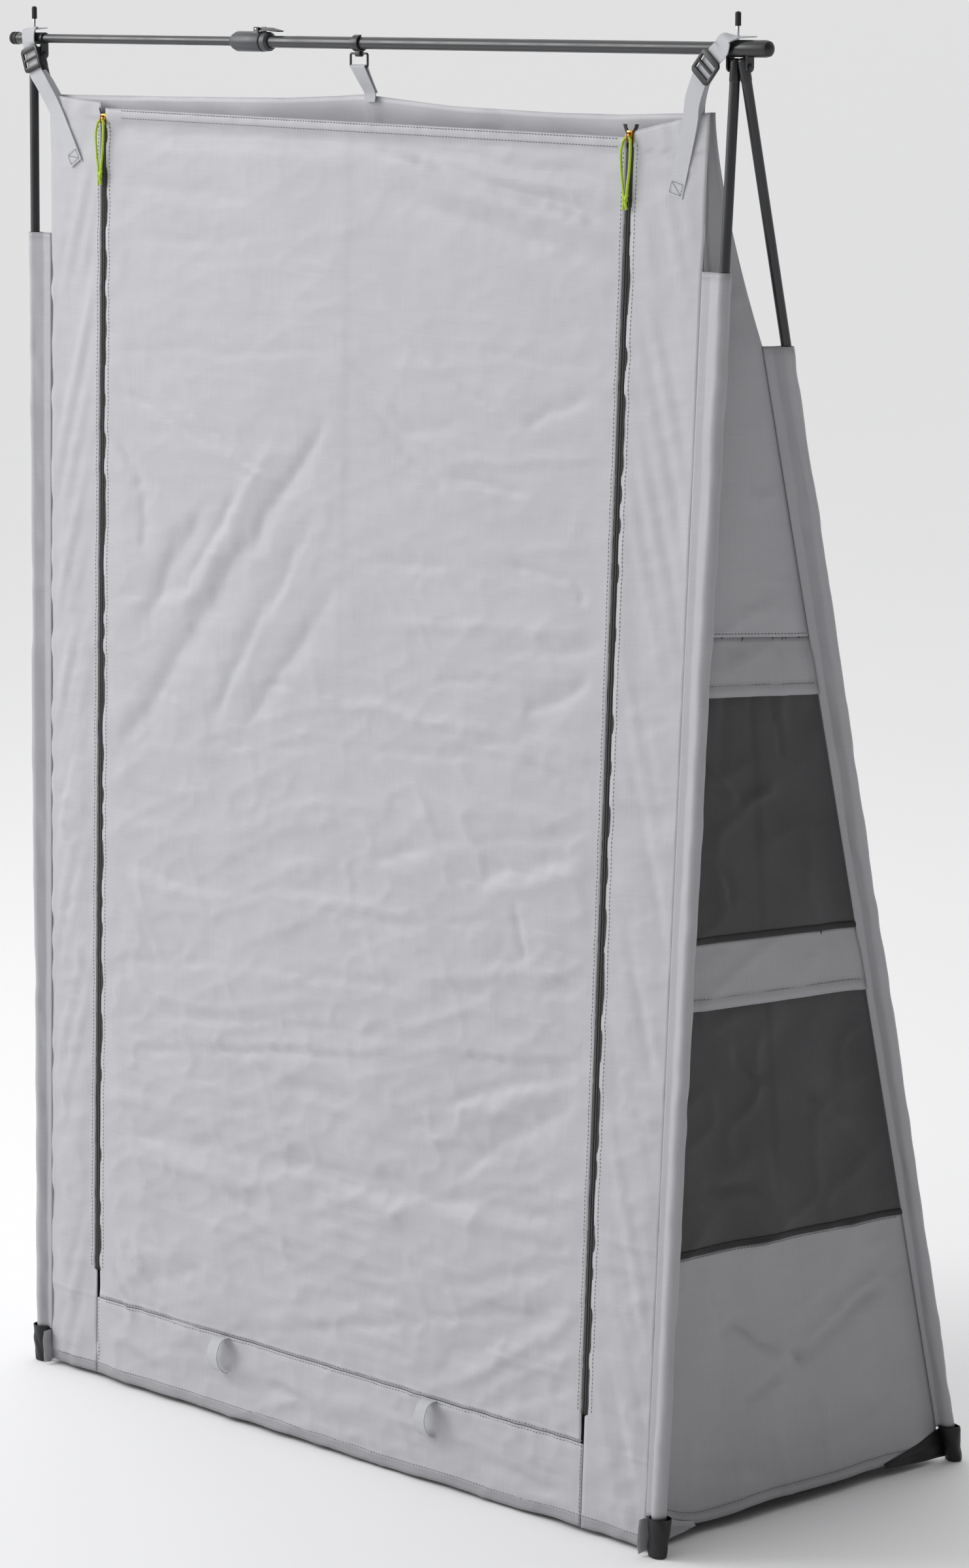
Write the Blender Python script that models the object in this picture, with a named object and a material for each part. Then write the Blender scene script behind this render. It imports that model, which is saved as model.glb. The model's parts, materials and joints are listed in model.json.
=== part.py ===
"""Privacy shower tent: a fabric cover hung in a folding A-frame of tubes under a telescopic top rail.

Metres, +Z up. X runs along the rail towards its wide tube, the door faces -Y, and the feet stand on z = 0.
Run it with: blender --background --python part.py
"""

import math

import bmesh
import bpy
from mathutils import Matrix, Vector

# ---- Driving dimensions -------------------------------------------------------------------------------
RAIL_HEIGHT = 1.900          # rail axis above the ground
RAIL_SPAN = 1.326            # between the front legs' axes at the rail
FOOT_SPAN = 1.220            # between the front legs' axes on the ground
FRONT_REACH = 0.065          # front feet ahead of the apex
REAR_REACH = 0.510           # rear feet behind the apex
LEFT_OVERHANG = 0.045        # rail end beyond the left front leg
RIGHT_OVERHANG = 0.057       # rail end beyond the right front leg

LEG_RADIUS = 0.0065
INNER_RAIL_RADIUS = 0.00625
OUTER_RAIL_RADIUS = 0.0080
TUBE_WALL = 0.001
LEG_GAP = 0.0015             # between a front leg and the rear leg beside it
PIN_DROP = 0.022             # leg pivot below the rail axis
LEG_OVER_PIN = 0.008         # leg tube above its pivot
PIN_RADIUS = 0.0025
LUG_THICKNESS = 0.0025
FITTING_WALL = 0.0022        # right fitting's wall; the left one is thinner
LEFT_FITTING_WALL = 0.00165
CAP_WALL = 0.00225
FIT_GAP = 0.0003             # between pieces that seat on each other
SLIDE_GAP = 0.0004           # between pieces that slide in each other

RAIL_OVERLAP = 0.285         # inner rail inside the wide tube
COLLAR_X = -0.205            # where the wide tube starts, from the frame's centre
COLLAR_LENGTH = 0.074
COLLAR_WALL = 0.0052
LEVER_LENGTH = 0.040
SPIKE_HEIGHT = 0.0445        # spike's top above the rail axis
SPIKE_RADIUS = 0.0018
SPIKE_TIP_LENGTH = 0.0175
SPIKE_SHIFT = 0.003          # spike beyond the front leg's axis

CORNER_DROP = 0.0775         # cover's top corners below the rail
PEAK_DROP = 0.067            # rear wall's top, at the middle, below the rail
DOOR_DROP = 0.100
FRONT_SLEEVE_DROP = 0.270
REAR_SLEEVE_DROP = 0.364
DOOR_SEAM_Z = 0.118          # seam that the door hangs from when it is down
ZIP_FOOT_Z = 0.161
COVER_FOOT_Z = 0.006         # front wall's lower edge
SIDE_FOOT_Z = 0.016          # side and rear walls' lower edge
BOOT_HEIGHT = 0.052
ZIP_TOP_INSET = 0.1597       # zips from the front legs' axes, at the top
ZIP_FOOT_INSET = 0.1308      # and at their lower ends
ZIP_SHIFT = -0.008           # middle of the door from the frame's centre
TAPE_WIDTH = 0.005
TAPE_THICKNESS = 0.0015
ZIP_SPLIT = 0.001            # between a zip's two halves
FABRIC = 0.0008
SEAM_GAP = 0.0006            # panel edge to the seam line beside it
FRONT_SEAM_TOP = 0.036       # front leg axis to the corner seam, at the sleeve's top
FRONT_SEAM_FOOT = 0.021
REAR_SEAM_TOP = 0.021        # rear leg axis to the rear seam, on each of X and Y
REAR_SEAM_FOOT = 0.012
SLEEVE_GAP = 0.0006          # leg to its sleeve
SIDE_DROP = 0.015            # side wall's cross seams drop this much to the rear
UPPER_FLAP_Z = (1.179, 1.103)
UPPER_MESH_FOOT_Z = 0.790
LOWER_FLAP_Z = (0.790, 0.701)
LOWER_MESH_FOOT_Z = 0.383
FLAP_STAND_OFF = 0.003
WEBBING_WIDTH = 0.025
WEBBING_THICKNESS = 0.0015
CENTRE_STRAP_WIDTH = 0.0264
CORD_RADIUS = 0.00175
BAIL_HALF_WIDTH = 0.0009
DOOR_TIE_X = (-0.216, 0.197)

SIDES = {"right": 1, "left": -1}

# ---- Derived sizes ------------------------------------------------------------------------------------
CENTRE_X = (LEFT_OVERHANG - RIGHT_OVERHANG) / 2
APEX_Y = (FRONT_REACH - REAR_REACH) / 2
PIN_Z = RAIL_HEIGHT - PIN_DROP
REAR_SHIFT = 2 * LEG_RADIUS + LEG_GAP
RAIL_LEFT_X = CENTRE_X - RAIL_SPAN / 2 - LEFT_OVERHANG
RAIL_RIGHT_X = CENTRE_X + RAIL_SPAN / 2 + RIGHT_OVERHANG
WIDE_TUBE_X = CENTRE_X + COLLAR_X
CORNER_Z = RAIL_HEIGHT - CORNER_DROP
PEAK_Z = RAIL_HEIGHT - PEAK_DROP
DOOR_TOP_Z = RAIL_HEIGHT - DOOR_DROP
FRONT_SLEEVE_TOP_Z = RAIL_HEIGHT - FRONT_SLEEVE_DROP
REAR_SLEEVE_TOP_Z = RAIL_HEIGHT - REAR_SLEEVE_DROP
SLEEVE_RADIUS = LEG_RADIUS + SLEEVE_GAP + FABRIC
LUG_RADIUS = LEG_RADIUS
RIGHT_FITTING_RADIUS = OUTER_RAIL_RADIUS + FIT_GAP + FITTING_WALL
LEFT_FITTING_RADIUS = INNER_RAIL_RADIUS + FIT_GAP + LEFT_FITTING_WALL
COLLAR_RADIUS = OUTER_RAIL_RADIUS + FIT_GAP + COLLAR_WALL

MATERIALS = {
    "tube_paint": ((0.060, 0.062, 0.068), 0.38, 0.6),
    "black_plastic": ((0.022, 0.022, 0.024), 0.45, 0.0),
    "collar_plastic": ((0.075, 0.078, 0.085), 0.5, 0.0),
    "steel": ((0.62, 0.62, 0.63), 0.3, 1.0),
    "rubber": ((0.020, 0.020, 0.021), 0.75, 0.0),
    "boot_vinyl": ((0.025, 0.026, 0.027), 0.6, 0.0),
    "front_fabric": ((0.52, 0.52, 0.54), 0.8, 0.0),
    "wall_fabric": ((0.36, 0.36, 0.37), 0.8, 0.0),
    "sleeve_fabric": ((0.42, 0.42, 0.43), 0.8, 0.0),
    "mesh_fabric": ((0.05, 0.05, 0.052), 0.9, 0.0),
    "webbing": ((0.56, 0.57, 0.59), 0.85, 0.0),
    "zip_tape": ((0.015, 0.015, 0.016), 0.6, 0.0),
    "brass": ((0.60, 0.40, 0.16), 0.35, 1.0),
    "neon_cord": ((0.60, 0.92, 0.06), 0.7, 0.0),
}


# ---- Where things are ---------------------------------------------------------------------------------
def lerp(a, b, share):
    """The value a share of the way from a to b."""
    return a + (b - a) * share


def leg_x(side, z):
    """A front leg's axis at height z. Both A-frames lean in towards their feet."""
    return CENTRE_X + side * lerp(FOOT_SPAN, RAIL_SPAN, z / RAIL_HEIGHT) / 2


def front_y(z):
    """The front legs' axes, and the front wall's middle, at height z."""
    return APEX_Y - FRONT_REACH * (PIN_Z - z) / PIN_Z


def rear_y(z):
    """The rear legs' axes at height z."""
    return APEX_Y + REAR_REACH * (PIN_Z - z) / PIN_Z


def zip_x(side, z):
    """A zip's centre line at height z."""
    share = (z - ZIP_FOOT_Z) / (DOOR_TOP_Z - ZIP_FOOT_Z)
    return leg_x(side, z) + ZIP_SHIFT - side * lerp(ZIP_FOOT_INSET, ZIP_TOP_INSET, share)


def front_seam(side, z):
    """The seam between the front wall and a side wall, inboard of the front leg's sleeve."""
    reach = lerp(FRONT_SEAM_FOOT, FRONT_SEAM_TOP, z / FRONT_SLEEVE_TOP_Z)
    return Vector((leg_x(side, z) - side * reach, front_y(z), z))


def sleeved_rear_seam(side, z):
    """The seam between a side wall and the rear wall, up to the rear sleeve's top."""
    reach = lerp(REAR_SEAM_FOOT, REAR_SEAM_TOP, z / REAR_SLEEVE_TOP_Z)
    return Vector((leg_x(side, z) + REAR_SHIFT - side * reach, rear_y(z) - reach, z))


def rear_seam(side, z):
    """The same seam, closing in to the cover's corner above the sleeve."""
    if z <= REAR_SLEEVE_TOP_Z:
        return sleeved_rear_seam(side, z)
    rise = (z - REAR_SLEEVE_TOP_Z) / (CORNER_Z - REAR_SLEEVE_TOP_Z)
    closing = max(0.0, 1 - rise) ** 1.4
    corner_depth = Vector((0, 0.010, 0))
    across = sleeved_rear_seam(side, REAR_SLEEVE_TOP_Z) - front_seam(side, REAR_SLEEVE_TOP_Z)
    return front_seam(side, z) + corner_depth + (across - corner_depth) * closing


def wall_point(side, share, z, stand_off=0.0):
    """A point of a side wall, a share of the way from its front seam to its rear seam."""
    start = front_seam(side, z) + Vector((0, 0.003, 0))
    end = rear_seam(side, z)
    across = end - start
    margin = 2 * SEAM_GAP / across.length
    point = start + across * lerp(margin, 1 - margin, share)
    outward = Vector((across.y, -across.x, 0)).normalized() * side
    return point + outward * stand_off


# ---- Building blocks ----------------------------------------------------------------------------------
def clear_scene():
    """Removes what the startup file holds."""
    for obj in list(bpy.data.objects):
        bpy.data.objects.remove(obj, do_unlink=True)


def make_materials():
    """One Principled material for each finish."""
    made = {}
    for name, (colour, roughness, metallic) in MATERIALS.items():
        material = bpy.data.materials.new(name)
        material.use_nodes = True
        shader = material.node_tree.nodes["Principled BSDF"]
        shader.inputs["Base Color"].default_value = (*colour, 1)
        shader.inputs["Roughness"].default_value = roughness
        shader.inputs["Metallic"].default_value = metallic
        made[name] = material
    return made


def add_object(name, data, material):
    """Links mesh or curve data as the object called name."""
    obj = bpy.data.objects.new(name, data)
    data.materials.append(bpy.data.materials[material])
    bpy.context.scene.collection.objects.link(obj)
    return obj


def from_bmesh(name, bm, material, origin=(0, 0, 0)):
    """Turns a closed bmesh into an object whose origin is at the given point."""
    bmesh.ops.recalc_face_normals(bm, faces=bm.faces)
    bmesh.ops.translate(bm, verts=bm.verts, vec=-Vector(origin))
    mesh = bpy.data.meshes.new(name)
    bm.to_mesh(mesh)
    bm.free()
    obj = add_object(name, mesh, material)
    obj.location = origin
    return obj


def ring(centre, u, v, count=24):
    """Points of an ellipse with half axes u and v."""
    centre = Vector(centre)
    turns = [2 * math.pi * i / count for i in range(count)]
    return [centre + Vector(u) * math.cos(t) + Vector(v) * math.sin(t) for t in turns]


def loft(name, rings, material, closed_on_itself=False, origin=(0, 0, 0)):
    """A body through rings of equal count. Its ends are capped, or joined for a hollow tube."""
    bm = bmesh.new()
    rows = [[bm.verts.new(point) for point in points] for points in rings]
    pairs = list(zip(rows, rows[1:]))
    if closed_on_itself:
        pairs.append((rows[-1], rows[0]))
    for low, high in pairs:
        for i in range(len(low)):
            j = (i + 1) % len(low)
            bm.faces.new((low[i], low[j], high[j], high[i]))
    if not closed_on_itself:
        bm.faces.new(rows[0])
        bm.faces.new(rows[-1])
    return from_bmesh(name, bm, material, origin)


def turned(name, start, direction, profile, material, hollow=False, count=24, origin=(0, 0, 0)):
    """A body of revolution. The profile is a list of (distance along the axis, radius)."""
    start = Vector(start)
    along = Vector(direction).normalized()
    helper = Vector((0, 0, 1)) if abs(along.z) < 0.9 else Vector((1, 0, 0))
    u = along.cross(helper).normalized()
    v = along.cross(u)
    rings = [ring(start + along * s, u * r, v * r, count) for s, r in profile]
    return loft(name, rings, material, hollow, origin)


def tube(name, start, end, radius, material, count=24):
    """An open tube with the common wall, between two points on its axis."""
    start, end = Vector(start), Vector(end)
    length = (end - start).length
    inner = radius - TUBE_WALL
    profile = [(0, radius), (length, radius), (length, inner), (0, inner)]
    return turned(name, start, end - start, profile, material, hollow=True, count=count)


def box(name, centre, half, material, origin=(0, 0, 0)):
    """A block with its half sizes along the axes."""
    bm = bmesh.new()
    bmesh.ops.create_cube(bm, size=2)
    bmesh.ops.scale(bm, vec=half, verts=bm.verts)
    bmesh.ops.translate(bm, vec=centre, verts=bm.verts)
    return from_bmesh(name, bm, material, origin)


def combine(target, operation, tools):
    """Joins or cuts hidden tools with a Boolean for each."""
    for tool in tools:
        tool.hide_render = True
        tool.display_type = "WIRE"
        modifier = target.modifiers.new(tool.name, "BOOLEAN")
        modifier.operation = operation
        modifier.solver = "EXACT"
        modifier.object = tool
    return target


def sheet(name, rows, material, thickness=FABRIC):
    """A closed sheet of fabric through a grid of points."""
    bm = bmesh.new()
    grid = [[bm.verts.new(point) for point in row] for row in rows]
    for low, high in zip(grid, grid[1:]):
        for i in range(len(low) - 1):
            bm.faces.new((low[i], low[i + 1], high[i + 1], high[i]))
    obj = from_bmesh(name, bm, material)
    solid = obj.modifiers.new("thickness", "SOLIDIFY")
    solid.thickness = thickness
    solid.offset = 0
    return obj


def ribbon(name, stations, material, thickness=WEBBING_THICKNESS):
    """A webbing strap through (point, face normal, width) stations."""
    points = [Vector(s[0]) for s in stations]
    rows = []
    for i, (point, normal, width) in enumerate(stations):
        tangent = points[min(i + 1, len(points) - 1)] - points[max(i - 1, 0)]
        across = tangent.cross(Vector(normal)).normalized()
        rows.append([Vector(point) - across * width / 2, Vector(point) + across * width / 2])
    return sheet(name, rows, material, thickness)


def rounded(half_x, half_y, radius, centre=(0, 0), steps=5):
    """The corner points of a rounded rectangle."""
    points = []
    for corner, (sx, sy) in enumerate(((1, 1), (-1, 1), (-1, -1), (1, -1))):
        for step in range(steps + 1):
            turn = math.pi / 2 * (corner + step / steps)
            x = centre[0] + sx * (half_x - radius) + radius * math.cos(turn)
            y = centre[1] + sy * (half_y - radius) + radius * math.sin(turn)
            points.append((x, y))
    return points


def plate(name, outlines, thickness, placing, material):
    """A flat plate with holes: the first outline is its edge, and the rest are cut through."""
    curve = bpy.data.curves.new(name, "CURVE")
    curve.dimensions = "2D"
    curve.fill_mode = "BOTH"
    curve.extrude = thickness / 2
    for outline in outlines:
        spline = curve.splines.new("POLY")
        spline.points.add(len(outline) - 1)
        for point, (x, y) in zip(spline.points, outline):
            point.co = (x, y, 0, 1)
        spline.use_cyclic_u = True
    obj = add_object(name, curve, material)
    obj.matrix_world = placing
    return obj


def frame_at(point, x_axis, y_axis):
    """A placing matrix from a point and two axes."""
    x = Vector(x_axis).normalized()
    z = x.cross(Vector(y_axis)).normalized()
    y = z.cross(x)
    turn = Matrix((x, y, z)).transposed().to_4x4()
    return Matrix.Translation(Vector(point)) @ turn


# ---- The frame ----------------------------------------------------------------------------------------
def clevis_x(side):
    """The middle of the two legs at their pivot."""
    return leg_x(side, PIN_Z) + REAR_SHIFT / 2


def spike_x(side):
    """A spike's axis."""
    return leg_x(side, RAIL_HEIGHT) + SPIKE_SHIFT


def lug_offset():
    """From the clevis's middle to the middle of a lug."""
    return REAR_SHIFT / 2 + LEG_RADIUS + 3 * FIT_GAP + LUG_THICKNESS / 2


def build_rails():
    """The two tubes of the telescopic rail, with a hole for each spike."""
    wide = tube(
        "outer_rail",
        (WIDE_TUBE_X, APEX_Y, RAIL_HEIGHT),
        (RAIL_RIGHT_X - 0.005, APEX_Y, RAIL_HEIGHT),
        OUTER_RAIL_RADIUS,
        "tube_paint",
        count=32,
    )
    thin = tube(
        "inner_rail",
        (RAIL_LEFT_X + 0.0022, APEX_Y, RAIL_HEIGHT),
        (WIDE_TUBE_X + RAIL_OVERLAP, APEX_Y, RAIL_HEIGHT),
        INNER_RAIL_RADIUS,
        "tube_paint",
        count=32,
    )
    for side, rail in ((1, wide), (-1, thin)):
        combine(rail, "DIFFERENCE", [spike_hole(side, "rail")])


def spike_hole(side, piece):
    """A cutter for the spike's hole in the rail's and the fitting's top."""
    start = (spike_x(side), APEX_Y, RAIL_HEIGHT)
    profile = [(0, SPIKE_RADIUS + FIT_GAP), (0.03, SPIKE_RADIUS + FIT_GAP)]
    return turned(f"cut_{piece}_spike_{side}", start, (0, 0, 1), profile, "steel", count=16)


def build_apex_fitting(side_name, rail_radius, body_radius, inner_x, outer_x, end_profile):
    """A moulded fitting on a rail end, with two lugs that carry both legs' pivot."""
    side = SIDES[side_name]
    x = clevis_x(side)
    outward = outer_x - inner_x
    body = turned(
        f"apex_fitting_{side_name}",
        (inner_x, APEX_Y, RAIL_HEIGHT),
        (side, 0, 0),
        [(0, body_radius), *[(abs(outward) + s, r) for s, r in end_profile]],
        "black_plastic",
        count=32,
    )
    lugs = []
    for end in (-1, 1):
        outline = [(LUG_RADIUS, 0), (-LUG_RADIUS, 0)]
        outline += [
            (-LUG_RADIUS * math.cos(t), -PIN_DROP - LUG_RADIUS * math.sin(t))
            for t in [math.pi * i / 12 for i in range(13)]
        ]
        lug_x = x + end * lug_offset()
        placing = frame_at((lug_x, APEX_Y, RAIL_HEIGHT), (0, 1, 0), (0, 0, 1))
        lug = loft(
            f"join_lug_{side_name}_{end}",
            [[placing @ Vector((a, b, s * LUG_THICKNESS / 2)) for a, b in outline] for s in (-1, 1)],
            "black_plastic",
        )
        lugs.append(lug)
    combine(body, "UNION", lugs)
    reach = 2 * lug_offset()
    pin_hole = turned(
        f"cut_pin_{side_name}",
        (x - reach, APEX_Y, PIN_Z),
        (1, 0, 0),
        [(0, PIN_RADIUS + FIT_GAP), (2 * reach, PIN_RADIUS + FIT_GAP)],
        "steel",
        count=20,
    )
    bore_depth = abs(outward) - 0.0035 if side > 0 else 0.2
    bore = turned(
        f"cut_bore_{side_name}",
        (inner_x - side * 0.01, APEX_Y, RAIL_HEIGHT),
        (side, 0, 0),
        [(0, rail_radius + FIT_GAP), (bore_depth + 0.01, rail_radius + FIT_GAP)],
        "steel",
        count=32,
    )
    return combine(body, "DIFFERENCE", [pin_hole, bore, spike_hole(side, "fitting")])


def build_fittings():
    """Both rail ends: the right fitting closes its tube, the left tube has a separate rubber cap."""
    lug_face = lug_offset() + LUG_THICKNESS / 2
    right_start = clevis_x(1) - lug_face - 0.0125
    round_off = RIGHT_FITTING_RADIUS
    domed_end = [
        (-0.008, round_off), (-0.003, round_off - 0.0012),
        (-0.0008, round_off - 0.0037), (0, round_off - 0.0070),
    ]
    build_apex_fitting(
        "right", OUTER_RAIL_RADIUS, RIGHT_FITTING_RADIUS, right_start, RAIL_RIGHT_X, domed_end
    )
    left_start = clevis_x(-1) + lug_face + 0.0010
    cap_length = 0.0145
    build_apex_fitting(
        "left",
        INNER_RAIL_RADIUS,
        LEFT_FITTING_RADIUS,
        left_start,
        RAIL_LEFT_X + cap_length + FIT_GAP,
        [(0, LEFT_FITTING_RADIUS)],
    )
    bore = INNER_RAIL_RADIUS + FIT_GAP
    outer, groove = bore + CAP_WALL, bore + CAP_WALL - 0.0009
    profile = [
        (0, bore), (0, outer - 0.0006), (0.0006, outer), (0.0052, outer), (0.0058, groove),
        (0.0072, groove), (0.0078, outer), (0.0120, outer), (cap_length, outer - 0.0030),
        (cap_length, 0.002), (cap_length - 0.002, 0.002), (cap_length - 0.002, bore),
    ]
    turned(
        "rail_end_cap",
        (RAIL_LEFT_X + cap_length, APEX_Y, RAIL_HEIGHT),
        (-1, 0, 0),
        profile,
        "rubber",
        hollow=True,
        count=32,
    )


def build_spike(side_name):
    """The steel spike through the rail and the rubber tip pressed over its end."""
    side = SIDES[side_name]
    x = spike_x(side)
    tip_z = RAIL_HEIGHT + SPIKE_HEIGHT - SPIKE_TIP_LENGTH
    bottom_z = RAIL_HEIGHT - 0.003
    shaft_top = tip_z + SPIKE_TIP_LENGTH - 0.006
    turned(
        f"spike_{side_name}",
        (x, APEX_Y, bottom_z),
        (0, 0, 1),
        [(0, SPIKE_RADIUS), (shaft_top - bottom_z, SPIKE_RADIUS)],
        "steel",
        count=16,
    )
    tip, bore = 0.0037, SPIKE_RADIUS + FIT_GAP
    deep = SPIKE_TIP_LENGTH - 0.0055
    turned(
        f"spike_tip_{side_name}",
        (x, APEX_Y, tip_z),
        (0, 0, 1),
        [
            (deep, 0.0004), (deep, bore), (0, bore), (0, tip), (SPIKE_TIP_LENGTH - 0.0022, tip),
            (SPIKE_TIP_LENGTH - 0.0007, 0.0027), (SPIKE_TIP_LENGTH, 0.0008),
        ],
        "rubber",
        count=20,
        origin=(x, APEX_Y, tip_z),
    )


def build_pivot_pin(side_name):
    """The rivet both legs turn on."""
    side = SIDES[side_name]
    head, head_radius = 0.0014, 0.0045
    half = lug_offset() + LUG_THICKNESS / 2 + FIT_GAP
    x = clevis_x(side)
    length = 2 * (half + head)
    turned(
        f"pivot_pin_{side_name}",
        (x - half - head, APEX_Y, PIN_Z),
        (1, 0, 0),
        [
            (0, head_radius - 0.001), (0.0006, head_radius), (head, head_radius),
            (head, PIN_RADIUS), (length - head, PIN_RADIUS), (length - head, head_radius),
            (length - 0.0006, head_radius), (length, head_radius - 0.001),
        ],
        "steel",
        count=20,
    )


def build_leg(name, side, shift, y_at):
    """One leg tube, drilled across for the pivot pin."""
    foot_z = 0.0065
    foot = Vector((leg_x(side, foot_z) + shift, y_at(foot_z), foot_z))
    pivot = Vector((leg_x(side, PIN_Z) + shift, y_at(PIN_Z), PIN_Z))
    along = (pivot - foot).normalized()
    leg = tube(name, foot, pivot + along * LEG_OVER_PIN, LEG_RADIUS, "tube_paint")
    hole = turned(
        f"cut_{name}",
        pivot - Vector((0.02, 0, 0)),
        (1, 0, 0),
        [(0, PIN_RADIUS + FIT_GAP), (0.04, PIN_RADIUS + FIT_GAP)],
        "steel",
        count=16,
    )
    return combine(leg, "DIFFERENCE", [hole])


def build_boot(name, side, shift, y_at):
    """The vinyl pocket a leg stands in: a tapered pouch with a flat floor."""
    def section(z, half_x, half_y):
        centre = (leg_x(side, z) + shift, y_at(z), z)
        return ring(centre, (half_x, 0, 0), (0, half_y, 0))

    floor = 0.004
    hole = LEG_RADIUS + 3 * FIT_GAP
    rings = [
        section(0, LEG_RADIUS + 0.0060, LEG_RADIUS + 0.0035),
        section(0.003, LEG_RADIUS + 0.0070, LEG_RADIUS + 0.0043),
        section(BOOT_HEIGHT - 0.002, LEG_RADIUS + 0.0100, LEG_RADIUS + 0.0057),
        section(BOOT_HEIGHT, LEG_RADIUS + 0.0093, LEG_RADIUS + 0.0051),
        section(BOOT_HEIGHT, hole, hole),
        section(floor, hole, hole),
    ]
    return loft(name, rings, "boot_vinyl")


def build_legs():
    """Four legs and the four boots under them."""
    for side_name, side in SIDES.items():
        for row, shift, y_at in (("front", 0, front_y), ("rear", REAR_SHIFT, rear_y)):
            build_leg(f"{row}_leg_{side_name}", side, shift, y_at)
            build_boot(f"{row}_boot_{side_name}", side, shift, y_at)


def build_collar():
    """The clamp collar at the rail's joint, with its cam lever."""
    left_x = WIDE_TUBE_X - COLLAR_LENGTH / 2
    inner_bore = INNER_RAIL_RADIUS + SLIDE_GAP
    outer_bore = OUTER_RAIL_RADIUS + FIT_GAP
    middle, end = COLLAR_LENGTH / 2 - 0.0005, COLLAR_LENGTH
    profile = [
        (0, inner_bore), (0, COLLAR_RADIUS - 0.0047), (0.003, COLLAR_RADIUS - 0.0027),
        (0.010, COLLAR_RADIUS), (end - 0.014, COLLAR_RADIUS),
        (end - 0.0135, COLLAR_RADIUS - 0.0017), (end - 0.0115, COLLAR_RADIUS - 0.0017),
        (end - 0.011, COLLAR_RADIUS - 0.0004), (end - 0.003, COLLAR_RADIUS - 0.0008),
        (end, COLLAR_RADIUS - 0.0035), (end, outer_bore), (middle, outer_bore),
        (middle, inner_bore),
    ]
    collar = turned(
        "rail_collar",
        (left_x, APEX_Y, RAIL_HEIGHT),
        (1, 0, 0),
        profile,
        "collar_plastic",
        hollow=True,
        count=36,
    )
    pin_x = left_x + COLLAR_LENGTH - 0.022
    pin_z = RAIL_HEIGHT + COLLAR_RADIUS + 0.0030
    lever_half, ear = 0.0055, 0.0022
    ears = [
        box(
            f"join_ear_{end_side}",
            (pin_x, APEX_Y + end_side * (lever_half + SLIDE_GAP + ear / 2), pin_z - 0.0030),
            (0.0042, ear / 2, 0.0058),
            "collar_plastic",
        )
        for end_side in (-1, 1)
    ]
    combine(collar, "UNION", ears)
    pin_radius = 0.0013
    across = 2 * (lever_half + SLIDE_GAP + ear)
    ear_hole = turned(
        "cut_lever_pin",
        (pin_x, APEX_Y - across, pin_z),
        (0, 1, 0),
        [(0, pin_radius + FIT_GAP), (2 * across, pin_radius + FIT_GAP)],
        "steel",
        count=12,
    )
    combine(collar, "DIFFERENCE", [ear_hole])
    turned(
        "lever_pin",
        (pin_x, APEX_Y - across / 2 - 0.0004, pin_z),
        (0, 1, 0),
        [(0, pin_radius), (across + 0.0008, pin_radius)],
        "steel",
        count=12,
    )
    outline = [(0.0028 * math.cos(t), 0.0022 * math.sin(t)) for t in
               [math.pi / 2 + math.pi * i / 8 for i in range(9)]]
    outline += [(LEVER_LENGTH * 0.45, -0.0024), (LEVER_LENGTH, -0.0036)]
    outline += [(LEVER_LENGTH + 0.001, -0.0020), (LEVER_LENGTH * 0.5, 0.0020)]
    hole = [((pin_radius + FIT_GAP) * math.cos(2 * math.pi * i / 12),
             (pin_radius + FIT_GAP) * math.sin(2 * math.pi * i / 12)) for i in range(12)]
    placing = frame_at((pin_x, APEX_Y, pin_z), (1, 0, 0), (0, 0, 1))
    plate("cam_lever", [outline, hole], 2 * lever_half, placing, "black_plastic")


# ---- The cover ----------------------------------------------------------------------------------------
def spaced(start, end, count):
    """count values from start to end, both included."""
    return [lerp(start, end, i / (count - 1)) for i in range(count)]


def front_row(left_x, right_x, z, columns):
    """A row of front wall points at one height."""
    return [Vector((x, front_y(z), z)) for x in spaced(left_x, right_x, columns)]


def beside_zip(z):
    """From a zip's line to the edge of the panel beside it, which closes up below the zip."""
    if z < ZIP_FOOT_Z - TAPE_WIDTH:
        return SEAM_GAP
    return ZIP_SPLIT / 2 + TAPE_WIDTH + SEAM_GAP


def build_front_wall():
    """The door, the strip on each side of it and the sill under it."""
    zip_rows = [ZIP_FOOT_Z - TAPE_WIDTH - SEAM_GAP, ZIP_FOOT_Z - SEAM_GAP]
    zip_rows += spaced(ZIP_FOOT_Z, DOOR_TOP_Z, 11)[1:]

    def centre_row(z):
        return front_row(zip_x(-1, z) + beside_zip(z), zip_x(1, z) - beside_zip(z), z, 9)

    door_rows = [centre_row(z) for z in [DOOR_SEAM_Z + SEAM_GAP, *zip_rows]]
    sheet("door_panel", door_rows, "front_fabric")
    sill_rows = [centre_row(z) for z in spaced(COVER_FOOT_Z, DOOR_SEAM_Z - SEAM_GAP, 3)]
    sheet("front_sill", sill_rows, "front_fabric")
    for side_name, side in SIDES.items():
        rows = []
        for z in [COVER_FOOT_Z, *zip_rows]:
            seam_x = front_seam(side, z).x - side * SEAM_GAP
            rows.append(front_row(zip_x(side, z) + side * beside_zip(z), seam_x, z, 3))
        outer_top = front_seam(side, CORNER_Z)
        outer_top.x -= side * SEAM_GAP
        inner_top = rows[-1][0].copy()
        inner_top.z += 0.004
        rows.append([inner_top, (inner_top + outer_top) / 2, outer_top])
        sheet(f"front_strip_{side_name}", rows, "front_fabric")


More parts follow.
